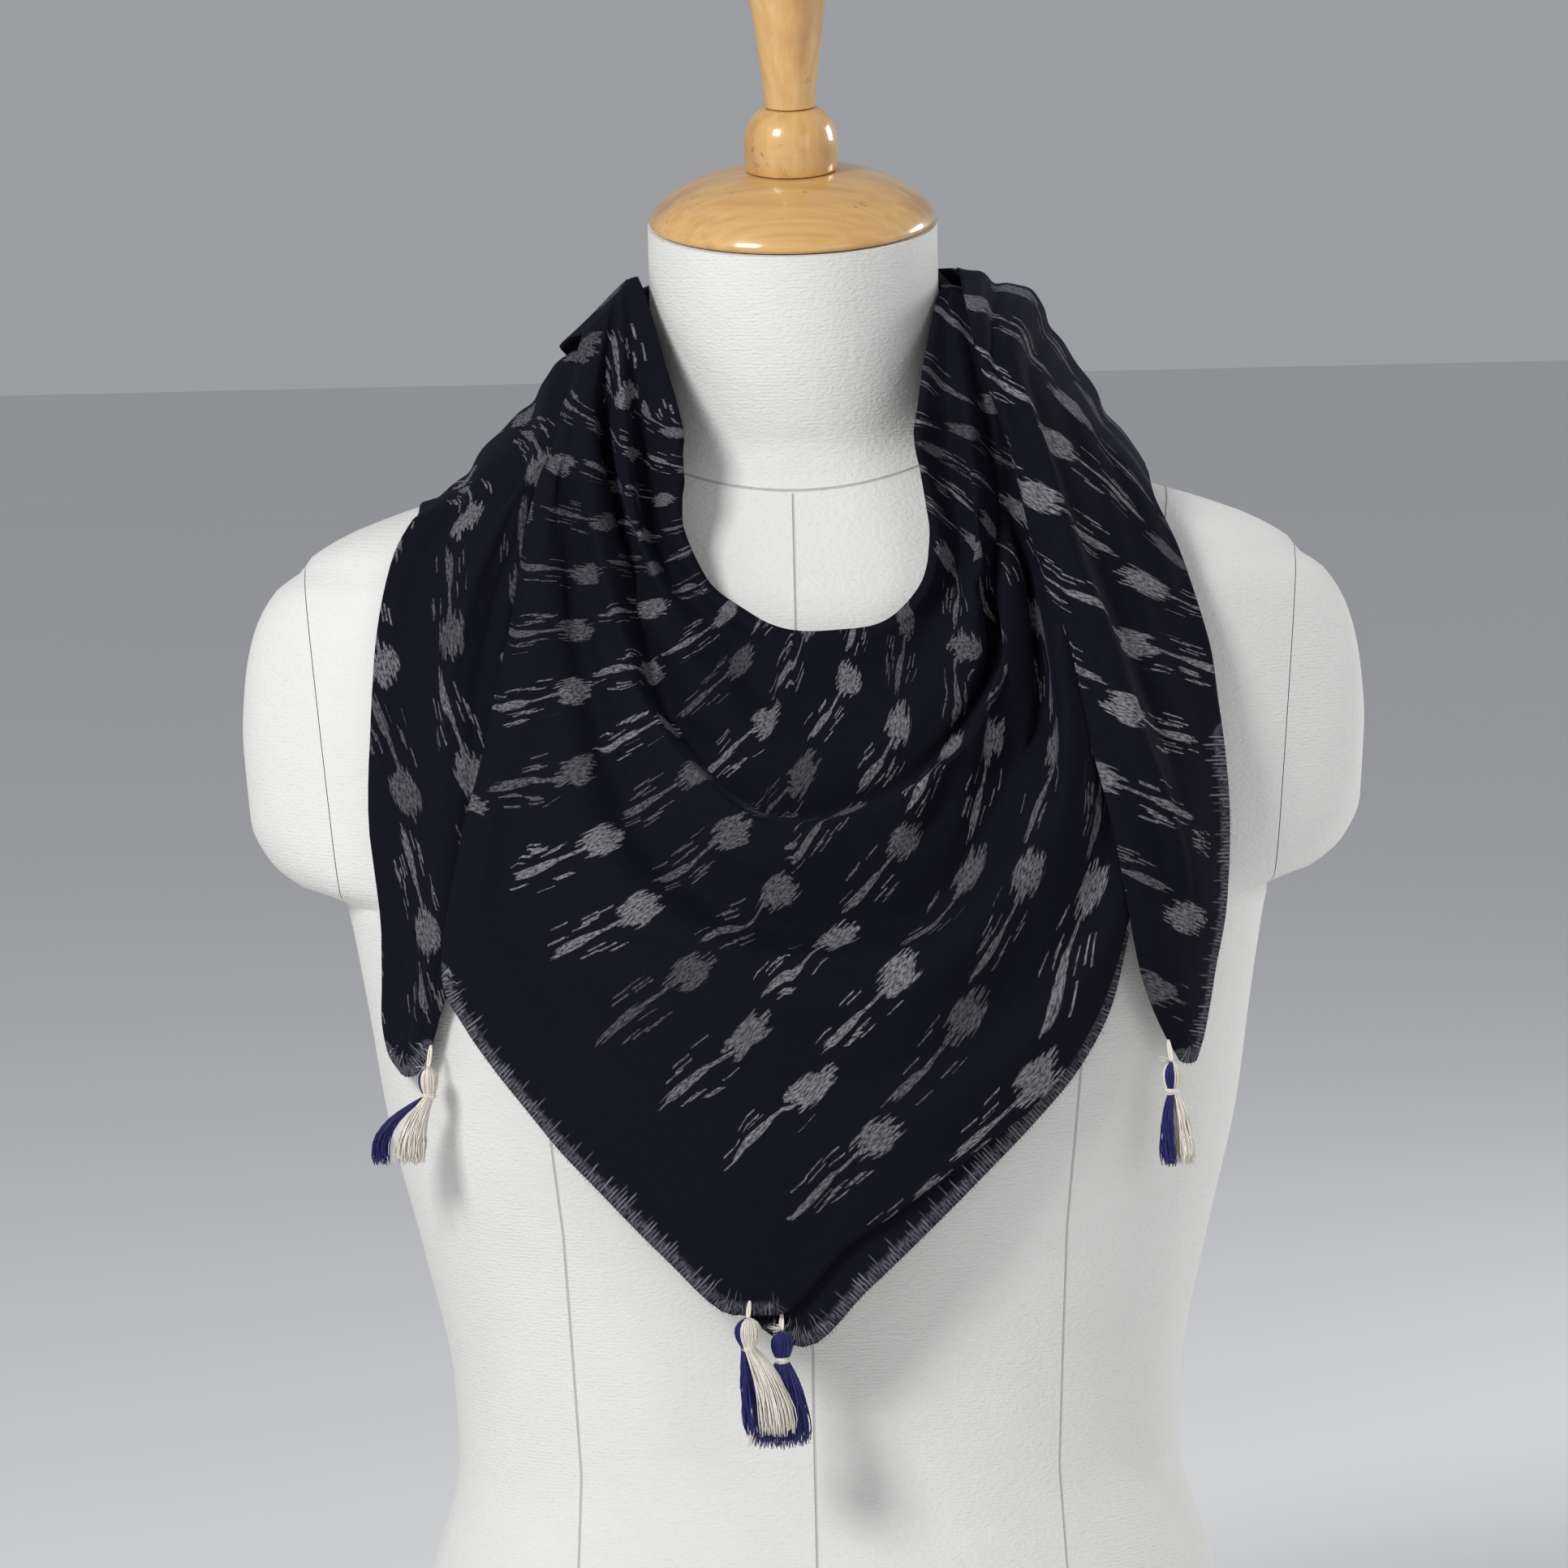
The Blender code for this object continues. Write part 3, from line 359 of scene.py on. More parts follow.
# One thread from the top of the head down: share of its height, share of the head's radius
HEAD_CURVE = [(0.0, 0.16), (0.06, 0.46), (0.16, 0.76), (0.32, 0.97), (0.5, 1.0), (0.68, 0.92), (0.84, 0.74),
              (1.0, 0.56)]
NECK_RADIUS = 0.0021
LOOP_SUNK = 0.001
LOOP_WIDTH = 0.0011
THREADS = 260
THREAD_WIDTH = 0.00055
SKIRT_RINGS = 9
WRAP_TURNS = 6
WRAP_THREAD = 0.00045
WRAP_SIDES = 30
WRAP_SLANT = 0.00022
WRAP_STAGGER = 0.00012
LOOP_CLEARANCE = 0.0001
LOOP_BOW = 0.42
LOOP_SIDES = 8
LOOP_TAPER = (0.6, 0.72, 0.8, 0.84, 0.84, 0.82, 0.78, 0.7, 0.5)
SKIRT_FLATNESS = 0.7
SKIRT_ENDS = (-0.0022, 0.0012)
SKIRT_WAVES = (0.0005, 0.0004, 0)
LOOSE_LENGTH = 0.006
LOOSE_BOW = 0.0006
LOOSE_WIDTHS = (0.0004, 0.0003, 0.0002)
FIRST_TASSEL_SEED = 20
THREAD_OFF_FORM = 0.0006
GOLDEN_TURN = math.radians(137.5)

FLOOR_SIZE = 30.0

# Pattern: how the flat cloth's grain runs over the worn one, in mm and degrees
GRAIN_TURN = math.radians(41)
FRONT_START = (233, 15.3)
NECK_SIDE_ANGLES = (121, 126, 131, 136)
NECK_SIDE_REACH = 88
NARROWEST_FAN = 160
FAN_WIDENING = 0.2
FAN_SOFTNESS = 20
PLAIN_FROM = (200, 260)
UNDER_PLAIN = 2000
LEFT_GRAIN_TURN = math.radians(-24)
LEFT_START = (1084, -6.6)
RIGHT_GRAIN_TURN = math.radians(-110)
RIGHT_START = (1080, 0)
FAR_FROM_HEM = 0.1

# Frayed edges, in metres
FRAY_GAP = 0.0016
FRAY_START = 0.0005
FRAY_SHIFT = 0.0003
FRAY_LENGTH = 0.0013
FRAY_LEAN = 0.22
FRAY_SAG = 0.15
FRAY_SUNK = 0.0006
FRAY_WIDTH = 0.00024
FRAY_TAPER = (1, 0.8, 0.3)

# Where the cut edges are: degrees along the front's hem, then sections up from an end's tip
FRONT_HEM_LEFT = (-35, -0.5)
LEFT_HEM_SECTIONS = 1
RIGHT_HEM_SECTIONS = 5

# Ikat: mm. middle, half length and half width of the ovals, then the stem and the dashes
REPEAT_ALONG = 108.0
REPEAT_ASIDE = 30.2
ROW_DRIFT = 6.5
ROW_SLANT = 0.19
YARN_PITCH = 0.62
YARN_SHIFT = 7.0
BUD = (47.0, 8.8, 6.0)
TAIL = (16.0, 10.5, 1.7)
STEM = (10.0, 42.0)
STEM_HALF_WIDTH = 0.62
DASH_BESIDE = (3.2, 8.5)
DASH_START = 1.0
DASH_SLANT = 1.5
DASH_LOOSE = 18.0
DASH_LENGTH = 8.0
DASHED_SHARE = 0.5
PLAIN_HEM = 14.0
PLAIN_BEFORE_FIRST_ROW = 60.0
FIRST_ROW = 3.6
ROWS_APART = 17.0
FAINTEST_MOTIF = 0.35
STREAK_SCALE = (420, 1500, 1)

# Hem comb: metres from thread to thread, mm in from the edge, and the band's share of the light tone
COMB_PITCH = 0.0014
COMB_REACH = (4.0, 11.0)
COMB_BAND = (3.6, 5.6)
COMB_BAND_SHARE = 0.55
SPECKLE_SCALE = (1900, 420, 1)

# Cover and thread: half the width of a seam in metres, and the coarse fibres' share of the fine ones' scale
SEAM_HALF_WIDTH = 0.00032
COARSE_FIBRES = 0.14

# Colours, each pair from its low tone to its high one
COTTON_TONES = ((0.0023, 0.0023, 0.0036), (0.0090, 0.0090, 0.0165))
COTTON_SHEEN = (0.36, 0.40, 0.85, 1)
UNDYED_TONE = (0.25, 0.25, 0.265)
HEM_TONE = (0.20, 0.20, 0.225)
CREAM_TONES = ((0.66, 0.60, 0.50), (0.95, 0.91, 0.83))
BLUE_TONES = ((0.006, 0.005, 0.06), (0.025, 0.022, 0.20))
COVER_TONES = ((0.70, 0.69, 0.665), (0.79, 0.785, 0.765))
WORN_TONE = (0.50, 0.48, 0.45)
SEAM_TONE = (0.50, 0.49, 0.47)
WOOD_TONES = ((0.56, 0.31, 0.095), (0.70, 0.43, 0.155))
BAND_TONE = (0.36, 0.17, 0.05)
MARK_TONE = (0.07, 0.035, 0.015)
FLOOR_TONES = ((0.80, 0.80, 0.80), (0.83, 0.83, 0.83))

# Studio: lights as name, place, power and size
LIT_MIDDLE = Vector((0, 0, 0.4))
LIGHTS = [
    ("key", (-1.6, -2.2, 2.0), 70, 0.8),
    ("fill", (1.6, -2.4, 0.9), 8, 1.4),
    ("rim", (1.9, 0.9, 1.1), 20, 0.7),
]
WORLD_COLOUR = (0.92, 0.94, 1.0)
WORLD_STRENGTH = 0.36


def hermite(values, tangent, piece, t, width=1):
    """Points of the curve with these values and tangents, at t from one value to the next."""
    return (
        values[piece] * (1 + 2 * t) * (1 - t) ** 2
        + tangent[piece] * width * t * (1 - t) ** 2
        + values[piece + 1] * t * t * (3 - 2 * t)
        + tangent[piece + 1] * width * t * t * (t - 1)
    )


def through(keys, values, at):
    """Smooth curve through the values, with no overshoot: level at each crest and valley."""
    keys, values, at = (np.asarray(given, float) for given in (keys, values, at))
    column = (-1,) + (1,) * (values.ndim - 1)
    slope = np.diff(values, axis=0) / np.diff(keys).reshape(column)
    same = slope[:-1] * slope[1:] > 0
    both = np.where(same, slope[:-1] + slope[1:], 1)
    bend = np.where(same, 2 * slope[:-1] * slope[1:] / both, 0)
    tangent = np.concatenate([slope[:1], bend, slope[-1:]])
    piece = np.clip(np.searchsorted(keys, at, side="right") - 1, 0, len(keys) - 2)
    width = (keys[piece + 1] - keys[piece]).reshape(column)
    return hermite(values, tangent, piece, (at - keys[piece]).reshape(width.shape) / width, width)


def smooth_through(values, steps):
    """Rounded curve through evenly placed values, with steps from one to the next."""
    values = np.asarray(values, float)
    at = np.linspace(0, len(values) - 1, (len(values) - 1) * steps + 1)
    piece = np.clip(at.astype(int), 0, len(values) - 2)
    t = (at - piece).reshape((-1,) + (1,) * (values.ndim - 1))
    return hermite(values, np.gradient(values, axis=0), piece, t)


def steps_between(counts):
    """Places along a row of lines, counts[i] steps from line i to the next."""
    places = [0.0]
    for line, count in enumerate(counts):
        places += [line + (i + 1) / count for i in range(count)]
    return np.array(places)


def view_axes():
    """The camera's right, up and ahead directions."""
    ahead = np.array([0, math.cos(VIEW_DROP), -math.sin(VIEW_DROP)])
    level_up = np.array([0, math.sin(VIEW_DROP), math.cos(VIEW_DROP)])
    level_right = np.array([1.0, 0, 0])
    right = level_right * math.cos(VIEW_ROLL) - level_up * math.sin(VIEW_ROLL)
    up = level_right * math.sin(VIEW_ROLL) + level_up * math.cos(VIEW_ROLL)
    return right, up, ahead


def seen(right, up, depth):
    """Points in space at depth y (m) that look to be right and up (mm) in the picture."""
    axis_right, axis_up, ahead = view_axes()
    eye = VIEW_MIDDLE - ahead * VIEW_DISTANCE
    right, up, depth = np.broadcast_arrays(*(np.asarray(given, float) for given in (right, up, depth)))
    ray = ahead * VIEW_DISTANCE + right[..., None] * MM * axis_right + up[..., None] * MM * axis_up
    return eye + ray * ((depth - eye[1]) / ray[..., 1])[..., None]


def looks_at(points):
    """mm right of and above the middle of the picture at which points in space are seen."""
    axis_right, axis_up, ahead = view_axes()
    ray = points - (VIEW_MIDDLE - ahead * VIEW_DISTANCE)
    near = VIEW_DISTANCE / (ray @ ahead) / MM
    return (ray @ axis_right) * near, (ray @ axis_up) * near


def hull_depth(x, z):
    """y of the draped hull in front of points at x and z."""
    sections = np.array(HULL_SECTIONS) * MM
    found = through(sections[:, 0], sections[:, 1:], np.clip(z, sections[0, 0], sections[-1, 0]).ravel())
    half, depth = (column.reshape(x.shape) for column in found.T)
    across = np.minimum(np.abs(x) / half, 1.0)
    return -depth * (1 - across**HULL_ROUNDNESS) ** (1 / HULL_ROUNDNESS)


def on_hull(right, up, lift):
    """Points of the cloth as they look from the front, lift mm out from the hull."""
    right, up, lift = (np.asarray(value, float) for value in (right, up, lift))
    depth = np.full(right.shape, -0.1)
    for _ in range(4):
        points = seen(right, up, depth)
        depth = hull_depth(points[..., 0], points[..., 2]) - lift * MM
    return seen(right, up, depth)


def on_collar(angle, share, off):
    """A point round the neck: share of the way down the slope, off mm out from it."""
    columns = through([row[0] for row in COLLAR_SECTIONS], [row[1:] for row in COLLAR_SECTIONS], [angle])[0]
    top_out, top_up, low_out, low_up, fullness = columns
    run, fall = low_out - top_out, top_up - low_up
    steep = fullness * max(share, 0.05) ** (fullness - 1)
    normal = np.array([fall * steep, run]) / math.hypot(fall * steep, run)
    out = top_out + run * share + normal[0] * off
    turn = math.radians(angle)
    height = top_up - fall * math.copysign(abs(share) ** fullness, share) + normal[1] * off
    return np.array([math.sin(turn) * out, -math.cos(turn) * out, height]) * MM


def turned_edge(places):
    """The turned-in places in finer steps, up to but without the edge itself."""
    return smooth_through(np.vstack([places, [(0, 0)]]), TURN_IN_STEPS)[:-1]


def neck_side(angle, wide, shares, off):
    """A row of the front panel's upper end, with its turned-in points first."""
    inner = [on_collar(angle, share, off - drop) for share, drop in turned_edge(NECK_SIDE_TURN_IN)]
    return inner + [on_collar(angle, wide * share, off) for share in shares]


def front_radii(angles):
    """mm along the ray at each angle to the front panel's ten lines, the last of them its outer edge."""
    radii = through([row[0] for row in FRONT_RADII], [row[1:] for row in FRONT_RADII], angles)
    hemmed = abs(angles) < FRONT_SIDE_ANGLES[0]
    radii[hemmed, -1] = np.interp(angles[hemmed], *np.transpose(FRONT_HEM))
    return radii


def on_ray(angle, reach, lift):
    """Cloth on a ray round the middle of the neck: radians from straight down, then mm."""
    return on_hull(FAN_MIDDLE[0] + math.sin(angle) * reach, FAN_MIDDLE[1] - math.cos(angle) * reach, lift)


def front_rows():
    """The front panel's rows, each from the turned-in neckline edge out to the hem, and their angles."""
    angles = np.concatenate([FRONT_SIDE_ANGLES[::-1] * -1, FRONT_HEM_ANGLES, FRONT_SIDE_ANGLES])
    lifts = through([row[0] for row in FRONT_LIFTS], [row[1:] for row in FRONT_LIFTS], angles)
    places = steps_between([count * COLUMN_STEPS for count in FRONT_STEPS])
    shares = np.linspace(0, 1, len(places))
    rows = [neck_side(angle, wide, shares, RIGHT_BAND_OFF[0]) for angle, wide in LEFT_NECK_SIDE][::-1]
    for angle, radius_row, lift_row in zip(angles, front_radii(angles), lifts):
        along = through(range(10), radius_row, places)
        lift = through(range(10), lift_row, places)
        tuck = np.interp(abs(angle), *TUCK_SHARE)
        turned_in = turned_edge(FRONT_TURN_IN * tuck + FLAT_EDGE * (1 - tuck))
        rounded = EDGE_ROUNDING * tuck * np.exp(-np.arange(len(along)) / COLUMN_STEPS)
        reach = np.concatenate([along[0] + turned_in[:, 0], along + rounded])
        rows.append(on_ray(math.radians(angle), reach, np.concatenate([lift[0] - turned_in[:, 1], lift])))
    rows += [neck_side(angle, wide, shares, LEFT_BAND_OFF[0]) for angle, wide in RIGHT_NECK_SIDE]
    return np.array(rows), angles


def under_rows():
    """The second layer's rows, each from where the front hides it out to its hem."""
    inner = np.interp(UNDER_ANGLES, *np.transpose(UNDER_INNER))
    hem = np.interp(UNDER_ANGLES, *np.transpose(UNDER_HEM))
    reaches = np.linspace(inner, hem, UNDER_STEPS * COLUMN_STEPS + 1, axis=1)
    drop = np.full(reaches.shape[1], -UNDER_DROP)
    return np.array([on_ray(angle, reach, drop) for angle, reach in zip(np.radians(UNDER_ANGLES), reaches)])


def end_rows(band, offs, front, lifts):
    """Rows along an end, from the side of the neck round the nape, over the shoulder and to the tip."""
    rows = []
    for place, (angle, start, stop) in enumerate(band):
        share = BAND_START[place] if place < len(BAND_START) else 1
        rows.append([on_collar(angle, start + (stop - start) * line, off * share)
                     for line, off in zip(BAND_LINES, offs)])
    for row, lift_row in zip(front, lifts):
        rows.append([on_hull(*place, lift) for place, lift in zip(row, lift_row)])
    places = steps_between([count * COLUMN_STEPS for count in END_STEPS])
    return np.array([through(range(4), row, places) for row in rows])


def outward(points):
    """Unit normals of a grid of points, pointing away from the form's middle."""
    normal = np.cross(np.gradient(points, axis=0), np.gradient(points, axis=1))
    normal /= np.maximum(np.linalg.norm(normal, axis=-1, keepdims=True), 1e-12)
    side = np.sum(normal * (points - (points * FORM_CORE - FORM_CORE_DROP)), axis=-1).mean()
    return normal if side > 0 else -normal


def nearest_on(places, lines, farthest):
    """How far along the nearest of the lines each place is, and how far off it."""
    off = np.full(places.shape[:-1], farthest)
    along = np.zeros(off.shape)
    for line in lines:
        gone = 0.0
        for start, stop in zip(line, line[1:]):
            length = np.linalg.norm(stop - start)
            if length < SHORTEST_STEP:
                continue
            step = (stop - start) / length
            on_line = np.clip((places - start) @ step, 0, length)
            away = np.linalg.norm(places - start - on_line[..., None] * step, axis=-1)
            closer = away < off
            off = np.where(closer, away, off)
            along = np.where(closer, gone + on_line, along)
            gone += length
    return along, off


def crease_height(right, up, creases):
    """mm off the cloth that the creases give on the front view, each fading out at its two ends."""
    total = np.zeros(right.shape)
    places = np.stack([right, up], axis=-1)
    for line, half_width, height in creases:
        line = smooth_through(line, CREASE_STEPS)
        whole = np.linalg.norm(np.diff(line, axis=0), axis=1).sum()
        along, off = nearest_on(places, [line], np.inf)
        fade = np.sin(np.pi * np.clip(along / whole, *CREASE_ENDS)) ** CREASE_FADE
        total += height * fade * np.exp(-((off / half_width) ** 2))
    return total


def form_rings(heights):
    """Points of the form's rounded sections at the heights."""
    rows = through([row[0] for row in FORM_SECTIONS], [row[1:] for row in FORM_SECTIONS], heights)
    half, front, back, middle, rise, roundness, arm = (column[:, None] for column in rows.T)
    turn = 2 * math.pi * np.arange(FORM_SIDES)[None, :] / FORM_SIDES
    cos, sin = np.cos(turn), np.sin(turn)
    across = np.sign(cos) * (half * abs(cos) ** (2 / roundness) + arm * abs(cos) ** ARM_FOCUS)
    ahead = np.sign(sin) * np.where(sin > 0, back, front) * abs(sin) ** (2 / roundness)
    return np.stack([across, middle + ahead, np.asarray(heights)[:, None] + ahead * rise], axis=-1) * MM


def form_shape():
    """The whole body of the form, arms included, as one fine loft."""
    heights = []
    for low, high in zip(FORM_SECTIONS, FORM_SECTIONS[1:]):
        parts_between = max(1, math.ceil((high[0] - low[0]) / FORM_RING_GAP))
        heights += [low[0] + (high[0] - low[0]) * i / parts_between for i in range(parts_between)]
    heights.append(FORM_SECTIONS[-1][0])
    shape = bmesh.new()
    rings = [[shape.verts.new(point) for point in ring] for ring in form_rings(heights)]
    for low, high in zip(rings, rings[1:]):
        for side in range(FORM_SIDES):
            after = (side + 1) % FORM_SIDES
            shape.faces.new((low[side], low[after], high[after], high[side]))
    shape.faces.new(rings[0][::-1])
    shape.faces.new(rings[-1])
    return shape


def form_tree():
    """A search tree over the whole body of the form."""
    shape = form_shape()
    bmesh.ops.recalc_face_normals(shape, faces=shape.faces)
    shape.normal_update()
    tree = BVHTree.FromBMesh(shape)
    shape.free()
    return tree


def push_off(points, layers, rounds=2):
    """Moves what lies too near a layer out along the layer's normal, never down."""
    flat = points.reshape(-1, 3)
    for _ in range(rounds):
        for tree, distance in layers:
            for i, place in enumerate(flat):
                point = Vector(place)
                near, normal, _, away = tree.find_nearest(point, LAYER_REACH)
                if near is None:
                    continue
                height = (point - near).dot(normal)
                if height < distance and away * away - height * height <= BESIDE_EDGE:
                    level = Vector((normal.x, normal.y, max(normal.z, 0))).normalized()
                    flat[i] += np.array(level * (distance - height))
    return flat.reshape(points.shape)


def facing_out(points):
    """The faces of a grid of points, in the order that points them away from the form."""
    rows, columns = points.shape[:2]
    index = np.arange(rows * columns).reshape(rows, columns)
    faces = np.stack([index[:-1, :-1], index[:-1, 1:], index[1:, 1:], index[1:, :-1]], axis=-1).reshape(-1, 4)
    a, b, c = (points.reshape(-1, 3)[faces[:, i]] for i in (0, 1, 2))
    inwards = np.sum(np.cross(b - a, c - a) * outward(points)[:-1, :-1].reshape(-1, 3)) < 0
    return (faces[:, ::-1] if inwards else faces).tolist()


def tree_of(points):
    """A search tree over a grid of points, with its normals outwards."""
    return BVHTree.FromPolygons(points.reshape(-1, 3).tolist(), facing_out(points))


def finer(rows):
    """The same rows with more between them."""
    return through(range(len(rows)), rows, np.linspace(0, len(rows) - 1, (len(rows) - 1) * ROW_STEPS + 1))


def wavy(points, height, size):
    """Slight unevenness of cloth, in metres, at a grid of points."""
    flat = [noise.noise(Vector(place) / size) for place in points.reshape(-1, 3)]
    return np.array(flat).reshape(points.shape[:2]) * height


def creased(points, creases):
    """The grid with its creases, where it faces the front, and with a slight unevenness."""
    right, up = looks_at(points)
    facing = np.clip((FRONT_FACING - points[..., 1]) / FRONT_FACING, 0, 1)
    height = crease_height(right, up, creases) * facing * MM
    for lift, size in UNEVENNESS:
        height += wavy(points, lift, size)
    return points + outward(points) * height[..., None]


def pleated(points, band_rows):
    """The grid of an end with soft pleats along its band, which fade out on the way down the front."""
    rows, columns = points.shape[:2]
    place = np.linspace(0, 1, columns)[None, :]
    run = np.arange(rows)[:, None] / (band_rows * ROW_STEPS)
    fade = np.clip(run / PLEATS_IN, 0, 1) * np.clip(PLEATS_OUT - run, 0, 1)
    height = np.zeros((rows, columns))
    for middle, half_width, lift, drift in BAND_PLEATS:
        line = middle + drift * np.sin(2.4 * run + 9 * middle)
        uneven = lift * (0.7 + 0.3 * np.sin(5 * run + 20 * middle))
        height += uneven * np.exp(-(((place - line) / half_width) ** 2))
    return points + outward(points) * (height * fade * MM)[..., None]


def grain(reach, angle):
    """Metres along and across the motifs on the flat cloth, from mm out and radians round the neck."""
    narrow = NARROWEST_FAN + FAN_WIDENING * reach
    width = narrow + FAN_SOFTNESS * np.log1p(np.exp((reach - narrow) / FAN_SOFTNESS))
    t = np.clip((reach - PLAIN_FROM[0]) / (PLAIN_FROM[1] - PLAIN_FROM[0]), 0, 1)
    plain = t * t * (3 - 2 * t)
    out = reach * (1 - plain + plain * np.cos(angle))
    aside = angle * width * (1 - plain) + reach * np.sin(angle) * plain
    along = aside * math.cos(GRAIN_TURN) - out * math.sin(GRAIN_TURN)
    across = out * math.cos(GRAIN_TURN) + aside * math.sin(GRAIN_TURN)
    return np.stack([along + FRONT_START[0], across + FRONT_START[1]], axis=-1) * MM


def front_grain(points, angles):
    """Pattern coordinates of the front panel, by the cloth's length in from its hem, and its rows' angles."""
    length = np.linalg.norm(np.diff(points, axis=1), axis=-1) / MM
    inward = np.zeros(points.shape[:2])
    inward[:, :-1] = np.cumsum(length[:, ::-1], axis=1)[:, ::-1]
    sides = np.array(NECK_SIDE_ANGLES)
    keys = np.concatenate([-sides[::-1], angles, sides])
    side_reach = np.full(len(sides), NECK_SIDE_REACH)
    outer = np.concatenate([side_reach, front_radii(angles)[:, -1], side_reach])
    at = np.linspace(0, len(keys) - 1, len(points))
    angle = np.radians(np.interp(at, range(len(keys)), keys))
    reach = np.interp(at, range(len(keys)), outer)[:, None] - inward
    return grain(reach, np.broadcast_to(angle[:, None], reach.shape)), np.degrees(angle)


def under_grain(points):
    """Pattern coordinates of the second layer, set where its yarn is plain."""
    shares = np.linspace(0, 1, len(points))
    angle = np.radians(np.interp(shares, np.linspace(0, 1, len(UNDER_ANGLES)), UNDER_ANGLES))
    right, up = looks_at(points)
    reach = np.hypot(right - FAN_MIDDLE[0], up - FAN_MIDDLE[1])
    return grain(reach, np.broadcast_to(angle[:, None], reach.shape)) - np.array([UNDER_PLAIN, 0]) * MM


def end_grain(points, turn, start, face):
    """Pattern coordinates of an end, from the lengths along its middle and out across it."""
    middle = points[:, points.shape[1] // 2]
    along = np.concatenate([[0], np.cumsum(np.linalg.norm(np.diff(middle, axis=0), axis=1))])
    across = np.zeros(points.shape[:2])
    across[:, 1:] = np.cumsum(np.linalg.norm(np.diff(points, axis=1), axis=-1), axis=1)
    across -= across[:, -1:] / 2
    first = along[:, None] * math.cos(turn) + across * math.sin(turn)
    second = (across * math.cos(turn) - along[:, None] * math.sin(turn)) * face
    return np.stack([first, second], axis=-1) + np.array(start) * MM


def set_map(mesh, name, values):
    """A UV map on the mesh from one value for each point."""
    corners = np.zeros(len(mesh.loops), dtype=np.int32)
    mesh.loops.foreach_get("vertex_index", corners)
    placed = values.reshape(-1, 2)[corners].astype(np.float32)
    mesh.uv_layers.new(name=name).data.foreach_set("uv", placed.ravel())


def finish_piece(piece, finish, slot_name, *nodes):
    """Its material, slot and body, and the frame's nodes that it stands for. The slot's name is not used."""
    piece.data.materials.clear()
    piece.data.materials.append(finish)
    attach(piece, "root")
    if nodes:
        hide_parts(*nodes)
    return piece


def place_object(name, data):
    """A new object in the scene with this mesh, lamp or camera."""
    piece = bpy.data.objects.new(name, data)
    bpy.context.scene.collection.objects.link(piece)
    return piece


def mesh_object(name, points, faces):
    mesh = bpy.data.meshes.new(name)
    mesh.from_pydata(points, [], faces)
    mesh.validate()
    return place_object(name, mesh)


def cloth(name, points, pattern, hems, finish, node):
    """A thin shell on a grid of points, with its pattern and its hem's places as two maps."""
    piece = mesh_object(name, points.reshape(-1, 3).tolist(), facing_out(points))
    set_map(piece.data, "grain", pattern)
    set_map(piece.data, "hem", np.stack(nearest_on(points, hems, FAR_FROM_HEM), axis=-1))
    piece.data.shade_smooth()
    wall = piece.modifiers.new("wall", "SOLIDIFY")
    wall.thickness = CLOTH_WALL
    wall.offset = 0
    bpy.context.view_layer.objects.active = piece
    bpy.ops.object.modifier_apply(modifier="wall")
    return finish_piece(piece, finish, "ikat_cotton", node)


def tube(points, faces, line, widths, sides=3):
    """Adds a closed strand along the line to lists of points and faces."""
    line = np.asarray(line, float)
    ahead = np.gradient(line, axis=0)
    ahead /= np.maximum(np.linalg.norm(ahead, axis=1, keepdims=True), 1e-9)
    level = np.array([0.31, 0.95, 0.05])
    first = np.cross(ahead, level)
    first /= np.linalg.norm(first, axis=1, keepdims=True)
    second = np.cross(ahead, first)
    start = len(points)
    for place, one, two, width in zip(line, first, second, widths):
        for side in range(sides):
            turn = 2 * math.pi * side / sides
            points.append(tuple(place + (one * math.cos(turn) + two * math.sin(turn)) * width / 2))
    for ring in range(len(line) - 1):
        low = start + ring * sides
        for side in range(sides):
            after = (side + 1) % sides
            faces.append((low + side, low + after, low + sides + after, low + sides + side))
    faces.append(tuple(start + side for side in range(sides))[::-1])
    faces.append(tuple(start + (len(line) - 1) * sides + side for side in range(sides)))


def fray(name, edges, finish, seed):
    """Short loose threads along frayed edges: each edge is its points and the points just inside them."""
    random = np.random.default_rng(seed)
    points, faces = [], []
    for edge, inside in edges:
        gone = np.concatenate([[0], np.cumsum(np.linalg.norm(np.diff(edge, axis=0), axis=1))])
        for place in np.arange(FRAY_START, gone[-1], FRAY_GAP):
            place += random.uniform(-FRAY_SHIFT, FRAY_SHIFT)
            root, back = (
                np.array([np.interp(place, gone, line[:, i]) for i in range(3)]) for line in (edge, inside))
            out = (root - back) / max(np.linalg.norm(root - back), 1e-9)
            lean = random.normal(0, FRAY_LEAN, 3)
            length = FRAY_LENGTH * random.uniform(0.35, 1.0)
            tip = root + (out + lean) * length - np.array([0, 0, length * FRAY_SAG])
            middle = root + (out + lean * 0.3) * length * 0.5
            tube(points, faces, [root - out * FRAY_SUNK, middle, tip], FRAY_WIDTH * np.array(FRAY_TAPER))
    piece = mesh_object(name, points, faces)
    places = np.zeros((len(points), 2))
    places[:, 0] = np.arange(len(points)) // 9 * FRAY_GAP
    set_map(piece.data, "grain", np.full((len(points), 2), -1.0))
    set_map(piece.data, "hem", places)
    piece.data.shade_smooth()
    return finish_piece(piece, finish, "ikat_cotton")


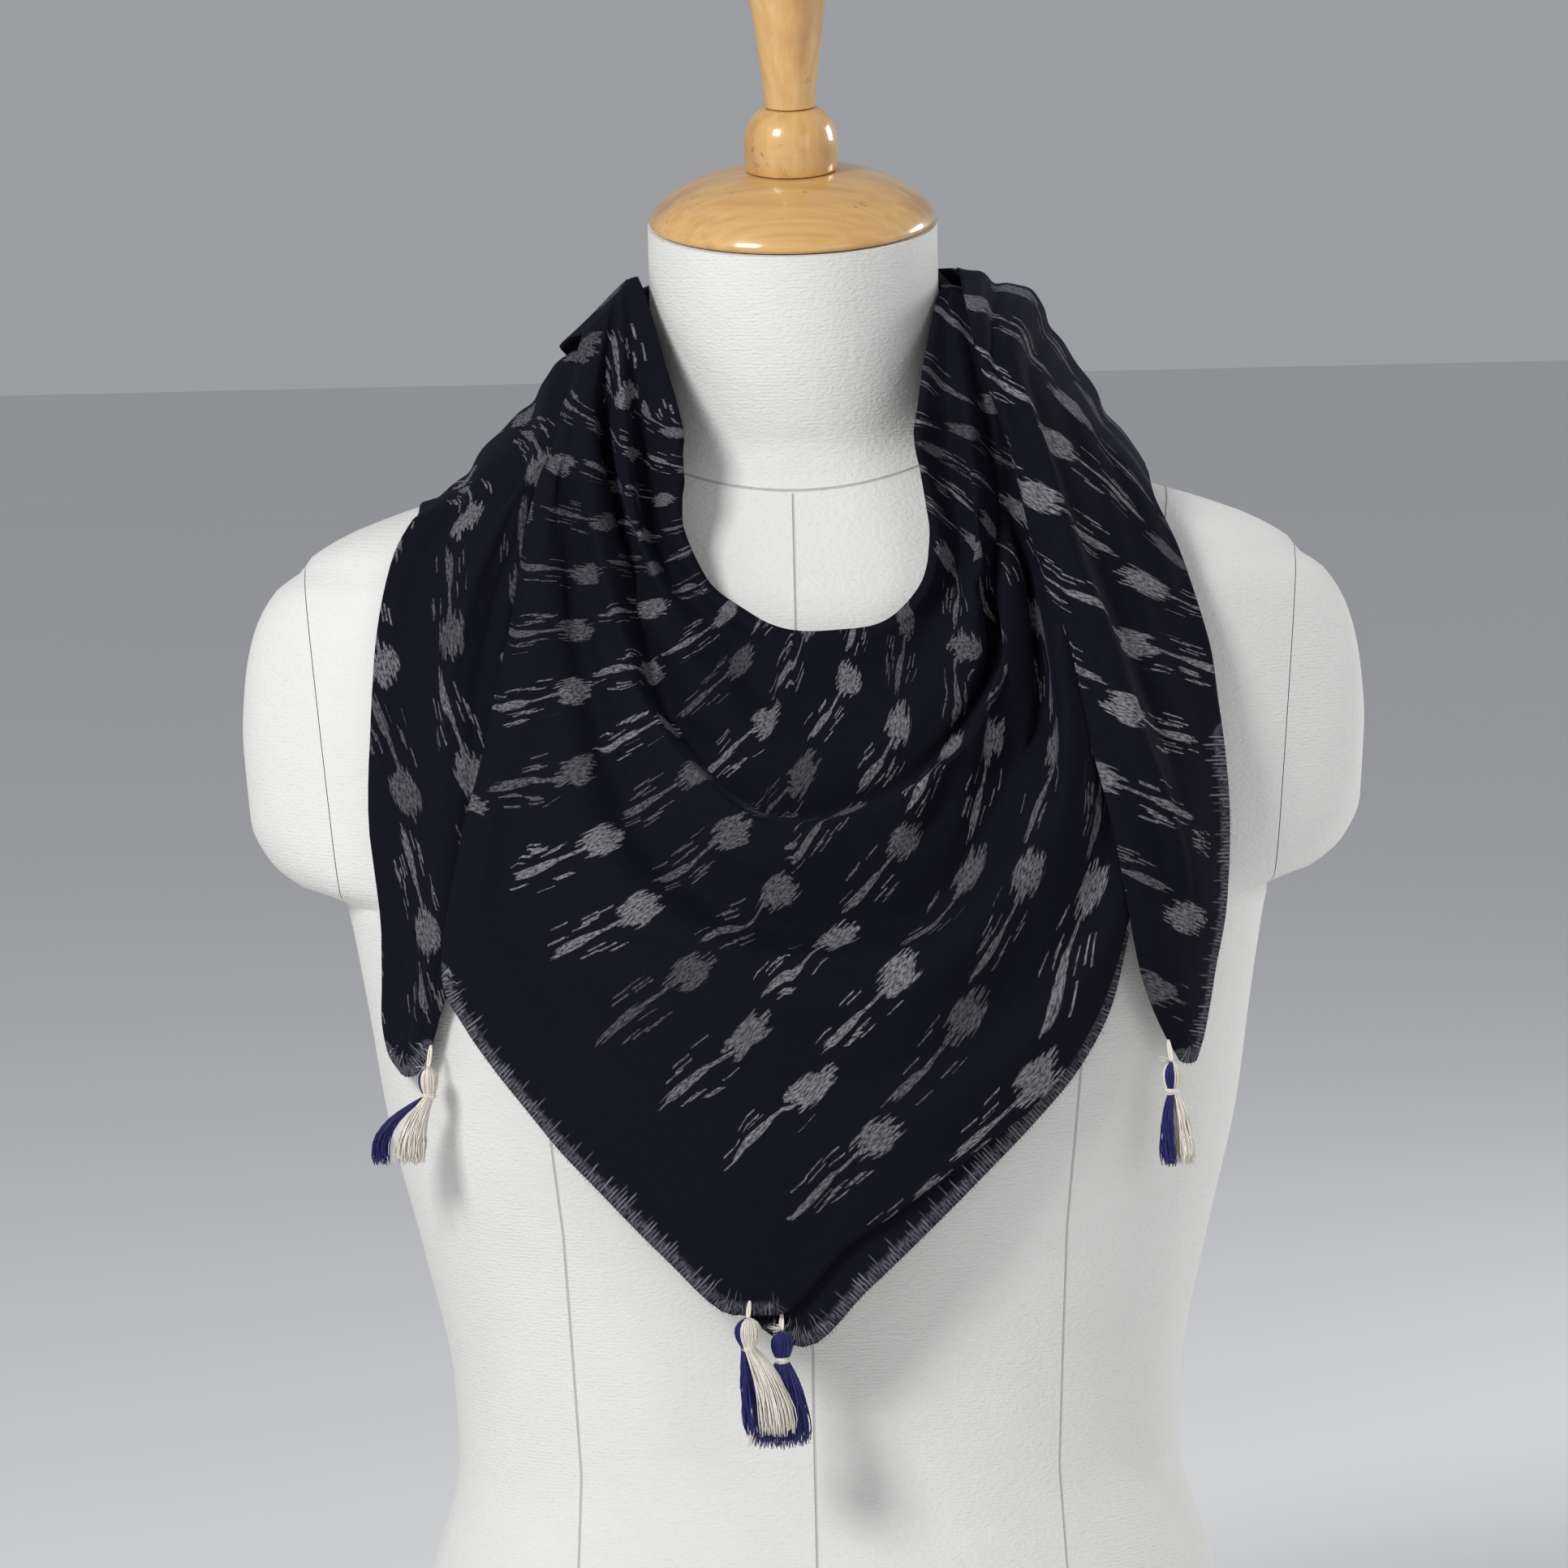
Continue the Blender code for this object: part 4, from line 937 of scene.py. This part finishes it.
def cut_flat(body, point, normal, above=-1.0):
    """Cuts away what lies beyond the plane, among the faces above a height, and closes the cut."""
    faces = [face for face in body.faces if min(corner.co.z for corner in face.verts) > above]
    edges = dict.fromkeys(edge for face in faces for edge in face.edges)
    corners = dict.fromkeys(corner for face in faces for corner in face.verts)
    bmesh.ops.bisect_plane(
        body, geom=[*faces, *edges, *corners], dist=1e-6, plane_co=point, plane_no=normal, clear_outer=True)
    bmesh.ops.holes_fill(body, edges=[edge for edge in body.edges if edge.is_boundary], sides=0)


def armhole(side):
    """A point on the armhole plane of one side, and the direction out through it."""
    along = ARMHOLE_HIGH - ARMHOLE_LOW
    out = Vector((along.z, 0, -along.x)).normalized()
    return Vector((ARMHOLE_LOW.x * side, 0, ARMHOLE_LOW.z)), Vector((out.x * side, 0, out.z))


def seam_places(points):
    """How far each point lies from the princess seams and the middle seams, then from the neck seam, in m."""
    heights, outs = np.array(PRINCESS_SEAM) * MM
    princess = np.abs(points[:, 0]) - np.interp(points[:, 2], heights, outs)
    middle = points[:, 0] - MIDDLE_SEAM
    neck = points[:, 2] - (NECK_SEAM[0] + NECK_SEAM[1] * (points[:, 0] / NECK_SEAM[2]) ** 2)
    middle[neck > 0] = NO_SEAM
    return np.stack([princess, middle], axis=1), np.stack([neck, neck], axis=1)


def form_piece(name, shape, finish, node):
    """A covered piece of the form, with its seams' places as two maps."""
    mesh = bpy.data.meshes.new(name)
    bmesh.ops.recalc_face_normals(shape, faces=shape.faces)
    shape.to_mesh(mesh)
    shape.free()
    piece = place_object(name, mesh)
    seams, neck = seam_places(np.array([corner.co for corner in mesh.vertices]))
    set_map(mesh, "seams", seams)
    set_map(mesh, "neck seam", neck)
    bpy.ops.object.select_all(action="DESELECT")
    piece.select_set(True)
    bpy.context.view_layer.objects.active = piece
    bpy.ops.object.shade_smooth_by_angle(angle=SHARP_FORM)
    return finish_piece(piece, finish, "form_cover", node)


def build_form(finish):
    """The body of the form, cut flat at the armholes, and its two stumps."""
    body = form_shape()
    for side in (-1, 1):
        cut_flat(body, *armhole(side), above=BELOW_ARMS)
    form_piece("form_body", body, finish, "form_torso")
    for name, side in (("left", -1), ("right", 1)):
        stump = form_shape()
        point, out = armhole(side)
        cut_flat(stump, Vector((0, 0, BELOW_ARMS)), Vector((0, 0, -1)))
        cut_flat(stump, point + out * SEAM_GAP, -out)
        form_piece("arm_stump_" + name, stump, finish, "form_arm_" + name)


def build_turned(name, profile, finish, node):
    """A turned piece: a disc drawn up ring by ring along the profile, then leaned as the neck does."""
    rings = smooth_through(profile, PROFILE_STEPS) * MM
    bpy.ops.object.select_all(action="DESELECT")
    bpy.ops.mesh.primitive_circle_add(
        vertices=TURNED_SIDES, radius=rings[0][0], fill_type="NGON", location=(0, 0, rings[0][1]))
    piece = bpy.context.object
    piece.name = piece.data.name = name
    bpy.ops.object.transform_apply(location=True)
    bpy.ops.object.mode_set(mode="EDIT")
    bpy.ops.mesh.select_all(action="SELECT")
    for (radius, height), (next_radius, next_height) in zip(rings, rings[1:]):
        bpy.ops.mesh.extrude_region_move(TRANSFORM_OT_translate={"value": (0, 0, next_height - height)})
        share = next_radius / radius
        bpy.ops.transform.resize(value=(share, share, 1), center_override=(0, 0, next_height))
    bpy.ops.mesh.select_all(action="SELECT")
    bpy.ops.mesh.normals_make_consistent(inside=False)
    bpy.ops.object.mode_set(mode="OBJECT")
    piece.location = NECK_TOP
    piece.rotation_euler.x = NECK_LEAN
    bpy.ops.object.transform_apply(location=True, rotation=True)
    bpy.ops.object.shade_smooth_by_angle(angle=SHARP_WOOD)
    return finish_piece(piece, finish, "varnished_wood", node)


def is_blue(name, turn):
    """Whether the thread at this turn round the tassel, from the front, is a blue one."""
    middle, share, _, _ = BLUE_THREAD[name]
    away = (math.degrees(turn) - middle + 180) % 360 - 180
    return abs(away) < 180 * share


def round_tassel(turn, radius, flatness=1):
    """A place at this turn round a tassel's axis, from the front."""
    return np.array([math.sin(turn), -math.cos(turn) * flatness, 0]) * radius


def head_thread(name, head, turn, depth):
    """The way of one thread over the head: depth is its share of the outer radius."""
    return [
        head + round_tassel(turn, HEAD_RADII[name] * out * depth - THREAD_WIDTH / 2)
        + np.array([0, 0, HEAD_HEIGHT * (0.5 - down)]) for down, out in HEAD_CURVE]


def skirt_thread(name, start, end, half_width, turn, share, random):
    """The way of one thread from the wrap down to its end, with its own small waves."""
    swing = BLUE_THREAD[name][2] * MM if is_blue(name, turn) else 0.0
    around = round_tassel(turn, share, SKIRT_FLATNESS) * half_width * MM
    tip = end + around + np.array([swing, 0, random.uniform(*SKIRT_ENDS)])
    first_wave, second_wave = random.normal(0, 1, (2, 3)) * SKIRT_WAVES
    line = []
    for t in np.linspace(0, 1, SKIRT_RINGS)[1:]:
        spread = t * (2 - t)
        place = start + (tip - start) * np.array([spread, spread, t])
        place = place + np.array([swing * 0.35, 0, 0]) * math.sin(math.pi * t)
        wave = first_wave * math.sin(math.pi * 2 * t) + second_wave * math.sin(math.pi * 3.1 * t)
        line.append(place + wave * t)
    return line


def add_wrap(points, faces, neck):
    """The binding thread, wound round below the head."""
    around = np.linspace(0, 2 * math.pi, WRAP_SIDES)
    for turn in range(WRAP_TURNS):
        height = (turn - (WRAP_TURNS - 1) / 2) * WRAP_THREAD * 0.85 + np.sin(around + turn) * WRAP_SLANT
        radius = NECK_RADIUS + THREAD_WIDTH / 2 + WRAP_STAGGER * (turn % 2)
        line = np.stack([np.sin(around) * radius, -np.cos(around) * radius, height], axis=1)
        tube(points, faces, line + neck, np.full(WRAP_SIDES, WRAP_THREAD), 5)


def add_loop(points, faces, root, stitch, cloth_tree):
    """The loop that hangs the tassel on the cloth's corner, of two strands side by side."""
    over = root + np.array([0, 0, stitch * MM])
    near = np.array(cloth_tree.find_nearest(Vector(over))[0])
    out = (over - near) / max(np.linalg.norm(over - near), 1e-9)
    end = near + out * (CLOTH_WALL / 2 + LOOP_WIDTH / 2 + LOOP_CLEARANCE)
    for side in (-1, 1):
        t = np.linspace(0, 1, len(LOOP_TAPER))[:, None]
        bow = np.sin(math.pi * (0.12 + 0.76 * t)) * [side * LOOP_WIDTH * LOOP_BOW, 0, 0]
        tube(points, faces, root + (end - root) * t + bow, LOOP_WIDTH * np.array(LOOP_TAPER), LOOP_SIDES)


def build_tassel(row, cloth_tree, body, threads, seed):
    """A tassel in two pieces, of cream thread and of blue thread."""
    name, head_place, end_place, half_width, lift, stitch = row
    random = np.random.default_rng(seed)
    head = on_hull(*head_place, lift)
    end = seen(*end_place, head[1])
    kinds = {"cream": ([], []), "blue": ([], [])}
    for i in range(THREADS):
        turn = i * GOLDEN_TURN
        share = math.sqrt((i + 0.5) / THREADS)
        over = head_thread(name, head, turn + random.normal(0, 0.03), 0.25 + 0.75 * share)
        under = skirt_thread(name, over[-1], end, half_width, turn, share, random)
        line = push_off(np.array(over + under)[None], [(body, THREAD_OFF_FORM)], 1)[0]
        widths = np.full(len(line), THREAD_WIDTH * random.uniform(0.75, 1.1))
        widths[-1] *= 0.6
        tube(*kinds["blue" if is_blue(name, turn) else "cream"], line, widths)
    add_wrap(*kinds["cream"], head - np.array([0, 0, HEAD_HEIGHT / 2]))
    root = head + np.array([0, 0, HEAD_HEIGHT / 2 - LOOP_SUNK])
    add_loop(*kinds["cream"], root, stitch, cloth_tree)
    for _ in range(BLUE_THREAD[name][3]):
        aside = np.array([-random.uniform(0.2, 1.0), -random.uniform(0, 0.5), random.uniform(0.1, 1.0)])
        aside *= LOOSE_LENGTH * random.uniform(0.5, 1.0) / np.linalg.norm(aside)
        line = [root, root + aside * 0.5 + np.array([0, 0, LOOSE_BOW]), root + aside]
        tube(*kinds["cream"], line, LOOSE_WIDTHS)
    for colour, nodes in (("cream", ["tassel_" + name]), ("blue", [])):
        piece = mesh_object(f"tassel_{name}_{colour}", *kinds[colour])
        piece.data.shade_smooth()
        finish_piece(piece, threads[colour], "tassel_thread", *nodes)


class Wire:
    """A value in a node tree. Arithmetic and comparisons on it add Math nodes."""

    def __init__(self, socket):
        self.socket = socket

    def math(self, operation, *others):
        values = dict(enumerate((self, *others)))
        return Wire(add(self.socket.id_data, "ShaderNodeMath", values, operation=operation)[0])

    def to(self, socket):
        self.socket.id_data.links.new(self.socket, socket)

    def __add__(self, other):
        return self.math("ADD", other)

    def __sub__(self, other):
        return self.math("SUBTRACT", other)

    def __mul__(self, other):
        return self.math("MULTIPLY", other)

    def __truediv__(self, other):
        return self.math("DIVIDE", other)

    def __pow__(self, other):
        return self.math("POWER", other)

    def __lt__(self, other):
        return self.math("LESS_THAN", other)

    def __gt__(self, other):
        return self.math("GREATER_THAN", other)

    def __abs__(self):
        return self.math("ABSOLUTE")

    def __floor__(self):
        return self.math("FLOOR")


def add(tree, kind, inputs, **settings):
    """The outputs of a new node. Each input is a number, a colour or a Wire, by its name or number."""
    made = tree.nodes.new(kind)
    for name, value in settings.items():
        setattr(made, name, value)
    for name, value in inputs.items():
        if isinstance(value, Wire):
            value.to(made.inputs[name])
        else:
            made.inputs[name].default_value = value
    return made.outputs


def passed(kind, output, inputs, **settings):
    """One output of a new node, in the tree of its first input."""
    tree = next(iter(inputs.values())).socket.id_data
    return Wire(add(tree, kind, inputs, **settings)[output])


def higher(first, *others):
    for other in others:
        first = first.math("MAXIMUM", other)
    return first


def ramp(value, low, high, to_low=0.0, to_high=1.0):
    """The value mapped from low–high to a new range, and held there beyond it."""
    return passed("ShaderNodeMapRange", "Result", {
        "Value": value, "From Min": low, "From Max": high, "To Min": to_low, "To Max": to_high})


def chance(value):
    """A random number from 0 to 1 for each whole number."""
    return passed("ShaderNodeTexWhiteNoise", "Value", {"W": value}, noise_dimensions="1D")


def grainy(place, scale, detail=2.0, rough=0.5):
    """Soft noise from 0 to 1."""
    return passed("ShaderNodeTexNoise", "Fac", {
        "Vector": place, "Scale": scale, "Detail": detail, "Roughness": rough})


def stretched(place, scale, turn=(0, 0, 0)):
    return passed("ShaderNodeMapping", "Vector", {"Vector": place, "Scale": scale, "Rotation": turn})


def blended(share, low, high):
    """A colour between two."""
    low, high = (value if isinstance(value, Wire) else (*value, 1) for value in (low, high))
    return passed("ShaderNodeMix", 2, {0: share, 6: low, 7: high}, data_type="RGBA")


def parts(vector):
    """The X and the Y of a vector."""
    return [passed("ShaderNodeSeparateXYZ", axis, {"Vector": vector}) for axis in "XY"]


def new_group(name, inputs, outputs):
    """An empty node group with named sockets: its tree, its inputs, and where its outputs go."""
    tree = bpy.data.node_groups.new(name, "ShaderNodeTree")
    for way, sockets in (("INPUT", inputs), ("OUTPUT", outputs)):
        for socket, kind in sockets.items():
            tree.interface.new_socket(name=socket, in_out=way, socket_type=f"NodeSocket{kind}")
    given = add(tree, "NodeGroupInput", {})
    return tree, [Wire(given[socket]) for socket in inputs], tree.nodes.new("NodeGroupOutput").inputs


def use_group(group, **inputs):
    """The outputs of a group placed in the tree of its first input."""
    tree = next(iter(inputs.values())).socket.id_data
    return [Wire(output) for output in add(tree, "ShaderNodeGroup", inputs, node_tree=group)]


def oval(along, aside, middle, half_length, half_width):
    rim = ((along - middle) / half_length) ** 2.0 + (aside / half_width) ** 2.0
    return ramp(rim, 1.12, 0.9)


def between(value, start, stop):
    return (value > start) * (value < stop)


def motif(along, aside, jag, loose):
    """One motif of the ikat, mm along and aside: a tail, a stem with broken dashes beside it, a bud."""
    along = along + jag
    beside = abs(aside)
    stem = between(along, *STEM) * (beside < STEM_HALF_WIDTH)
    first = beside * DASH_SLANT + (loose * DASH_LOOSE + DASH_START)
    dash = between(along, first, first + DASH_LENGTH) * between(beside, *DASH_BESIDE)
    dash = dash * (chance(loose) < DASHED_SHARE)
    return higher(oval(along, aside, *BUD), oval(along, aside, *TAIL), stem, dash)


def ikat_group():
    """Rows of undyed motifs in the yarn, each thread shifted a little: 1 where the yarn is undyed."""
    tree, (grain_place, hem_place), result = new_group(
        "ikat rows", {"Grain": "Vector", "Hem": "Vector"}, {"Undyed": "Float"})
    warp, weft = parts(grain_place)
    hem = parts(hem_place)[1] / MM
    aside = weft / MM
    along = aside * -ROW_SLANT + warp / MM
    thread = math.floor(aside / YARN_PITCH)
    jag = chance(thread) * YARN_SHIFT - YARN_SHIFT / 2
    loose = chance(thread + 0.5)
    sets = []
    for shift_along, shift_aside in ((0.0, 0.0), (REPEAT_ALONG / 2, -ROW_DRIFT)):
        here = along + shift_along
        row = math.floor(here / REPEAT_ALONG)
        across = row * (2 * ROW_DRIFT) + (aside + shift_aside)
        column = math.floor(across / REPEAT_ASIDE)
        near = row * -REPEAT_ALONG + here
        level = column * -REPEAT_ASIDE + (across - REPEAT_ASIDE / 2)
        shape = motif(near, level, jag, loose)
        number = row * ROWS_APART + column + shift_aside
        sets.append(shape * ramp(chance(number), 0.0, 1.0, FAINTEST_MOTIF, 1.0))
    early = (along + jag < FIRST_ROW) * (hem < PLAIN_BEFORE_FIRST_ROW)
    plain = higher(early, hem + jag < PLAIN_HEM)
    streak = ramp(grainy(stretched(grain_place, STREAK_SCALE), 1.0, 2.5, 0.65), 0.38, 0.62, 0.12, 1.0)
    undyed = higher(*sets) * (plain * -1.0 + 1.0) * streak
    undyed.to(result["Undyed"])
    return tree


def comb_group():
    """The hem's light threads: a grey band along the edge, and uneven single threads in from it."""
    tree, (hem_place,), result = new_group("hem comb", {"Hem": "Vector"}, {"Light threads": "Float"})
    place, depth = parts(hem_place)
    along = place / COMB_PITCH
    inwards = depth / MM
    number = math.floor(along)
    beside = abs(along.math("FRACT") - 0.5)
    reach = ramp(chance(number) ** 1.6, 0.0, 1.0, *COMB_REACH)
    tooth = ramp(inwards - reach, 0.0, -2.0) * ramp(beside, 0.26, 0.12)
    tooth = tooth * ramp(chance(number + 0.5), 0.0, 1.0, 0.15, 1.0)
    speckle = grainy(stretched(hem_place, SPECKLE_SCALE), 1.0, 2.0, 0.6)
    band = ramp(inwards, COMB_BAND[1], COMB_BAND[0]) * ramp(speckle, 0.42, 0.66)
    higher(tooth, band * COMB_BAND_SHARE).to(result["Light threads"])
    return tree


def fibre_group():
    """Fine fibres along a direction, for woven and loose thread: a height and a change of tone."""
    tree, (place, scale), result = new_group(
        "fibres", {"Place": "Vector", "Scale": "Float"}, {"Height": "Float", "Tone": "Float"})
    fine = grainy(place, scale, 3.0, 0.6)
    coarse = grainy(place, scale * COARSE_FIBRES)
    fine.to(result["Height"])
    (fine * 0.5 + coarse * 0.5).to(result["Tone"])
    return tree


def grain_group():
    """Wood grain along the second axis of the place: streaks, broad bands, and small dark marks."""
    tree, (place,), result = new_group(
        "wood grain", {"Place": "Vector"}, {"Streaks": "Float", "Bands": "Float", "Marks": "Float"})
    grainy(stretched(place, (300, 300, 9)), 1.0, 3.0, 0.55).to(result["Streaks"])
    grainy(stretched(place, (70, 70, 4)), 1.0).to(result["Bands"])
    spots = grainy(stretched(place, (300, 300, 150)), 1.0, 3.0, 0.7)
    marks = ramp(spots, 0.63, 0.72) * ramp(grainy(place, 34.0, 1.0), 0.5, 0.62)
    marks.to(result["Marks"])
    return tree


def new_material(name, **constants):
    """A material with constants on its shader."""
    made = bpy.data.materials.new(name)
    made.use_nodes = True
    for socket, value in constants.items():
        made.node_tree.nodes["Principled BSDF"].inputs[socket.replace("_", " ")].default_value = value
    return made


def from_object(made):
    return Wire(add(made.node_tree, "ShaderNodeTexCoord", {})["Object"])


def from_map(made, name):
    return Wire(add(made.node_tree, "ShaderNodeUVMap", {}, uv_map=name)["UV"])


def feed(made, colour, rough=None, relief=None):
    """Links the colour, roughness and relief (height, metres, strength) to the material's shader."""
    shader = made.node_tree.nodes["Principled BSDF"].inputs
    colour.to(shader["Base Color"])
    if rough:
        rough.to(shader["Roughness"])
    if relief:
        height, distance, strength = relief
        passed("ShaderNodeBump", "Normal", {
            "Height": height, "Distance": distance, "Strength": strength}).to(shader["Normal"])
    return made


def ikat_cotton(rows, comb, fibres):
    made = new_material(
        "ikat cotton", Sheen_Weight=0.045, Sheen_Roughness=0.3, Sheen_Tint=COTTON_SHEEN,
        Specular_IOR_Level=0.06)
    pattern, hem = from_map(made, "grain"), from_map(made, "hem")
    undyed, = use_group(rows, Grain=pattern, Hem=hem)
    light, = use_group(comb, Hem=hem)
    height, tone = use_group(fibres, Place=stretched(pattern, (1.0, 1.6, 1)), Scale=1500.0)
    colour = blended(undyed, blended(tone, *COTTON_TONES), UNDYED_TONE)
    colour = blended(light, colour, HEM_TONE)
    relief = light * 0.6 + (undyed * 0.4 + height)
    return feed(made, colour, ramp(tone, 0.3, 0.7, 0.78, 0.95), (relief, 0.00035, 0.7))


def seam_line(away):
    """1 in the fold of a seam, from the distance to it in metres."""
    return ramp(abs(away), SEAM_HALF_WIDTH * 1.6, SEAM_HALF_WIDTH * 0.6)


def form_cover(fibres):
    made = new_material("form cover", Sheen_Weight=0.08, Sheen_Roughness=0.6, Specular_IOR_Level=0.2)
    place = from_object(made)
    seams = parts(from_map(made, "seams")) + parts(from_map(made, "neck seam"))[:1]
    line = higher(*(seam_line(away) for away in seams))
    height, tone = use_group(fibres, Place=stretched(place, (0.8, 0.8, 1.5)), Scale=620.0)
    ribs = passed("ShaderNodeTexWave", "Fac", {
        "Vector": place, "Scale": 240.0, "Distortion": 3.5, "Detail": 2.0, "Detail Scale": 1.5},
        wave_type="BANDS", bands_direction="Z")
    ribs = ribs * ramp(grainy(place, 16.0), 0.35, 0.65, 0.03, 0.14)
    colour = blended(grainy(place, 9.0, 3.0), *COVER_TONES)
    colour = blended(ramp(tone, 0.3, 0.75, 0.12, 0.0), colour, WORN_TONE)
    colour = blended(line, colour, SEAM_TONE)
    relief = line * -0.8 + (height + ribs)
    return feed(made, colour, ramp(height, 0.3, 0.7, 0.75, 0.92), (relief, 0.0006, 0.85))


def varnished_wood(name, grain_way, turn):
    made = new_material(name, Coat_Weight=1.0, Coat_Roughness=0.13, Specular_IOR_Level=0.4)
    place = stretched(from_object(made), (1, 1, 1), turn)
    streaks, bands, marks = use_group(grain_way, Place=place)
    colour = blended(ramp(streaks, 0.25, 0.75), *WOOD_TONES)
    colour = blended(ramp(bands, 0.50, 0.70, 0.0, 0.65), colour, BAND_TONE)
    colour = blended(ramp(marks, 0.0, 1.0, 0.0, 0.75), colour, MARK_TONE)
    return feed(made, colour, ramp(streaks, 0.3, 0.7, 0.5, 0.38), (streaks, 0.00012, 0.5))


def tassel_thread(name, tones, fibres):
    made = new_material(name, Sheen_Weight=0.3, Sheen_Roughness=0.4, Specular_IOR_Level=0.3)
    height, tone = use_group(fibres, Place=stretched(from_object(made), (1, 1, 0.35)), Scale=2600.0)
    colour = blended(ramp(tone, 0.3, 0.7), *tones)
    return feed(made, colour, ramp(height, 0.3, 0.7, 0.7, 0.5), (height, 0.0002, 0.7))


def add_floor():
    made = new_material("studio floor", Roughness=0.9, Specular_IOR_Level=0.1)
    half = FLOOR_SIZE / 2
    corners = [(-half, -half, 0.0), (half, -half, 0.0), (half, half, 0.0), (-half, half, 0.0)]
    floor = mesh_object("floor", corners, [(0, 1, 2, 3)])
    floor.data.materials.append(feed(made, blended(grainy(from_object(made), 1.5), *FLOOR_TONES)))


def add_light(name, place, power, size):
    lamp = bpy.data.lights.new(name, "AREA")
    lamp.energy = power
    lamp.size = size
    light = place_object(name, lamp)
    light.location = place
    light.rotation_euler = (LIT_MIDDLE - Vector(place)).to_track_quat("-Z", "Y").to_euler()


def add_camera():
    right, up, ahead = (Vector(axis) for axis in view_axes())
    lens = bpy.data.cameras.new("camera")
    lens.sensor_fit = "HORIZONTAL"
    lens.angle = 2 * math.atan(VIEW_WIDTH / 2 / VIEW_DISTANCE)
    camera = place_object("camera", lens)
    place = Vector(VIEW_MIDDLE) - ahead * VIEW_DISTANCE
    camera.matrix_world = Matrix.Translation(place) @ Matrix((right, up, -ahead)).transposed().to_4x4()
    bpy.context.scene.camera = camera


def add_world():
    world = bpy.data.worlds.new("studio")
    world.use_nodes = True
    background = world.node_tree.nodes["Background"].inputs
    background["Color"].default_value = (*WORLD_COLOUR, 1)
    background["Strength"].default_value = WORLD_STRENGTH
    bpy.context.scene.world = world


def end_points(band, offs, front, lifts, creases):
    """The points of an end, with its creases and its pleats."""
    return pleated(creased(finer(end_rows(band, offs, front, lifts)), creases), len(band))


def cloth_points(body):
    """The points of the four stretches, each off the form and off those under it, and the front's angles."""
    off_form = (body, OFF_FORM)
    left = end_points(LEFT_BAND, LEFT_BAND_OFF, LEFT_END_FRONT, LEFT_END_LIFTS, LEFT_CREASES)
    left = push_off(left, [off_form])
    under = push_off(finer(under_rows()), [off_form])
    layers = [off_form, (tree_of(left), OFF_LAYER), (tree_of(under), OFF_LAYER)]
    rows, angles = front_rows()
    front = push_off(creased(finer(rows), FRONT_CREASES), layers)
    layers.append((tree_of(front), OFF_LAYER))
    right = end_points(RIGHT_BAND, RIGHT_BAND_OFF, RIGHT_END_FRONT, RIGHT_END_LIFTS, RIGHT_CREASES)
    return left, push_off(right, layers), front, under, angles


def build_cloth(body, finish):
    """The four visible stretches of the scarf, and the loose threads along their cut edges."""
    left, right, front, under, angles = cloth_points(body)
    pattern, row_angles = front_grain(front, angles)
    hemmed = (row_angles > FRONT_HEM_LEFT[0]) & (row_angles < FRONT_HEM_LEFT[1])
    under_hemmed = slice(len(under) * 3 // len(UNDER_ANGLES), None)
    left_tip = slice(len(left) - LEFT_HEM_SECTIONS * ROW_STEPS - 1, None)
    right_tip = slice(len(right) - RIGHT_HEM_SECTIONS * ROW_STEPS - 1, None)
    left_pattern = end_grain(left, LEFT_GRAIN_TURN, LEFT_START, -1)
    right_pattern = end_grain(right, RIGHT_GRAIN_TURN, RIGHT_START, 1)
    stretches = (
        # node, points, pattern, hems, frayed edges and the points just inside them
        ("scarf_front", front, pattern, [front[hemmed, -1]], [(front[hemmed, -1], front[hemmed, -2])]),
        ("scarf_front_under", under, under_grain(under), [under[under_hemmed, -1]],
         [(under[under_hemmed, -1], under[under_hemmed, -2])]),
        ("scarf_end_left", left, left_pattern, [left[-1], left[left_tip, 0], left[left_tip, -1]],
         [(left[-1], left[-2])]),
        ("scarf_end_right", right, right_pattern, [right[-1], right[right_tip, -1]],
         [(right[-1], right[-2]), (right[right_tip, -1], right[right_tip, -2])]),
    )
    for node, points, grain_places, hems, _ in stretches:
        cloth(node + "_cloth", points, grain_places, hems, finish, node)
    for seed, (node, *_, edges) in enumerate(stretches):
        fray(node + "_cloth_fray", edges, finish, seed)
    return left, right, front, under


def main():
    bpy.context.scene.view_settings.view_transform = "Standard"
    add_camera()
    fibres = fibre_group()
    grain_way = grain_group()
    cotton = ikat_cotton(ikat_group(), comb_group(), fibres)
    threads = {"cream": tassel_thread("cream thread", CREAM_TONES, fibres),
               "blue": tassel_thread("blue thread", BLUE_TONES, fibres)}
    upright = varnished_wood("varnished wood, upright grain", grain_way, (0, 0, 0))
    level = varnished_wood("varnished wood, level grain", grain_way, (0, math.radians(90), 0))

    build_form(form_cover(fibres))
    build_turned("cap_wood", CAP_PROFILE, level, "neck_cap")
    build_turned("ball_wood", BALL_PROFILE, upright, "cap_ball")
    build_turned("handle_wood", HANDLE_PROFILE, upright, "cap_handle")
    body = form_tree()
    grids = build_cloth(body, cotton)
    for seed, (row, points) in enumerate(zip(TASSELS, grids)):
        build_tassel(row, tree_of(points), body, threads, seed + FIRST_TASSEL_SEED)

    add_floor()
    for row in LIGHTS:
        add_light(*row)
    add_world()


main()
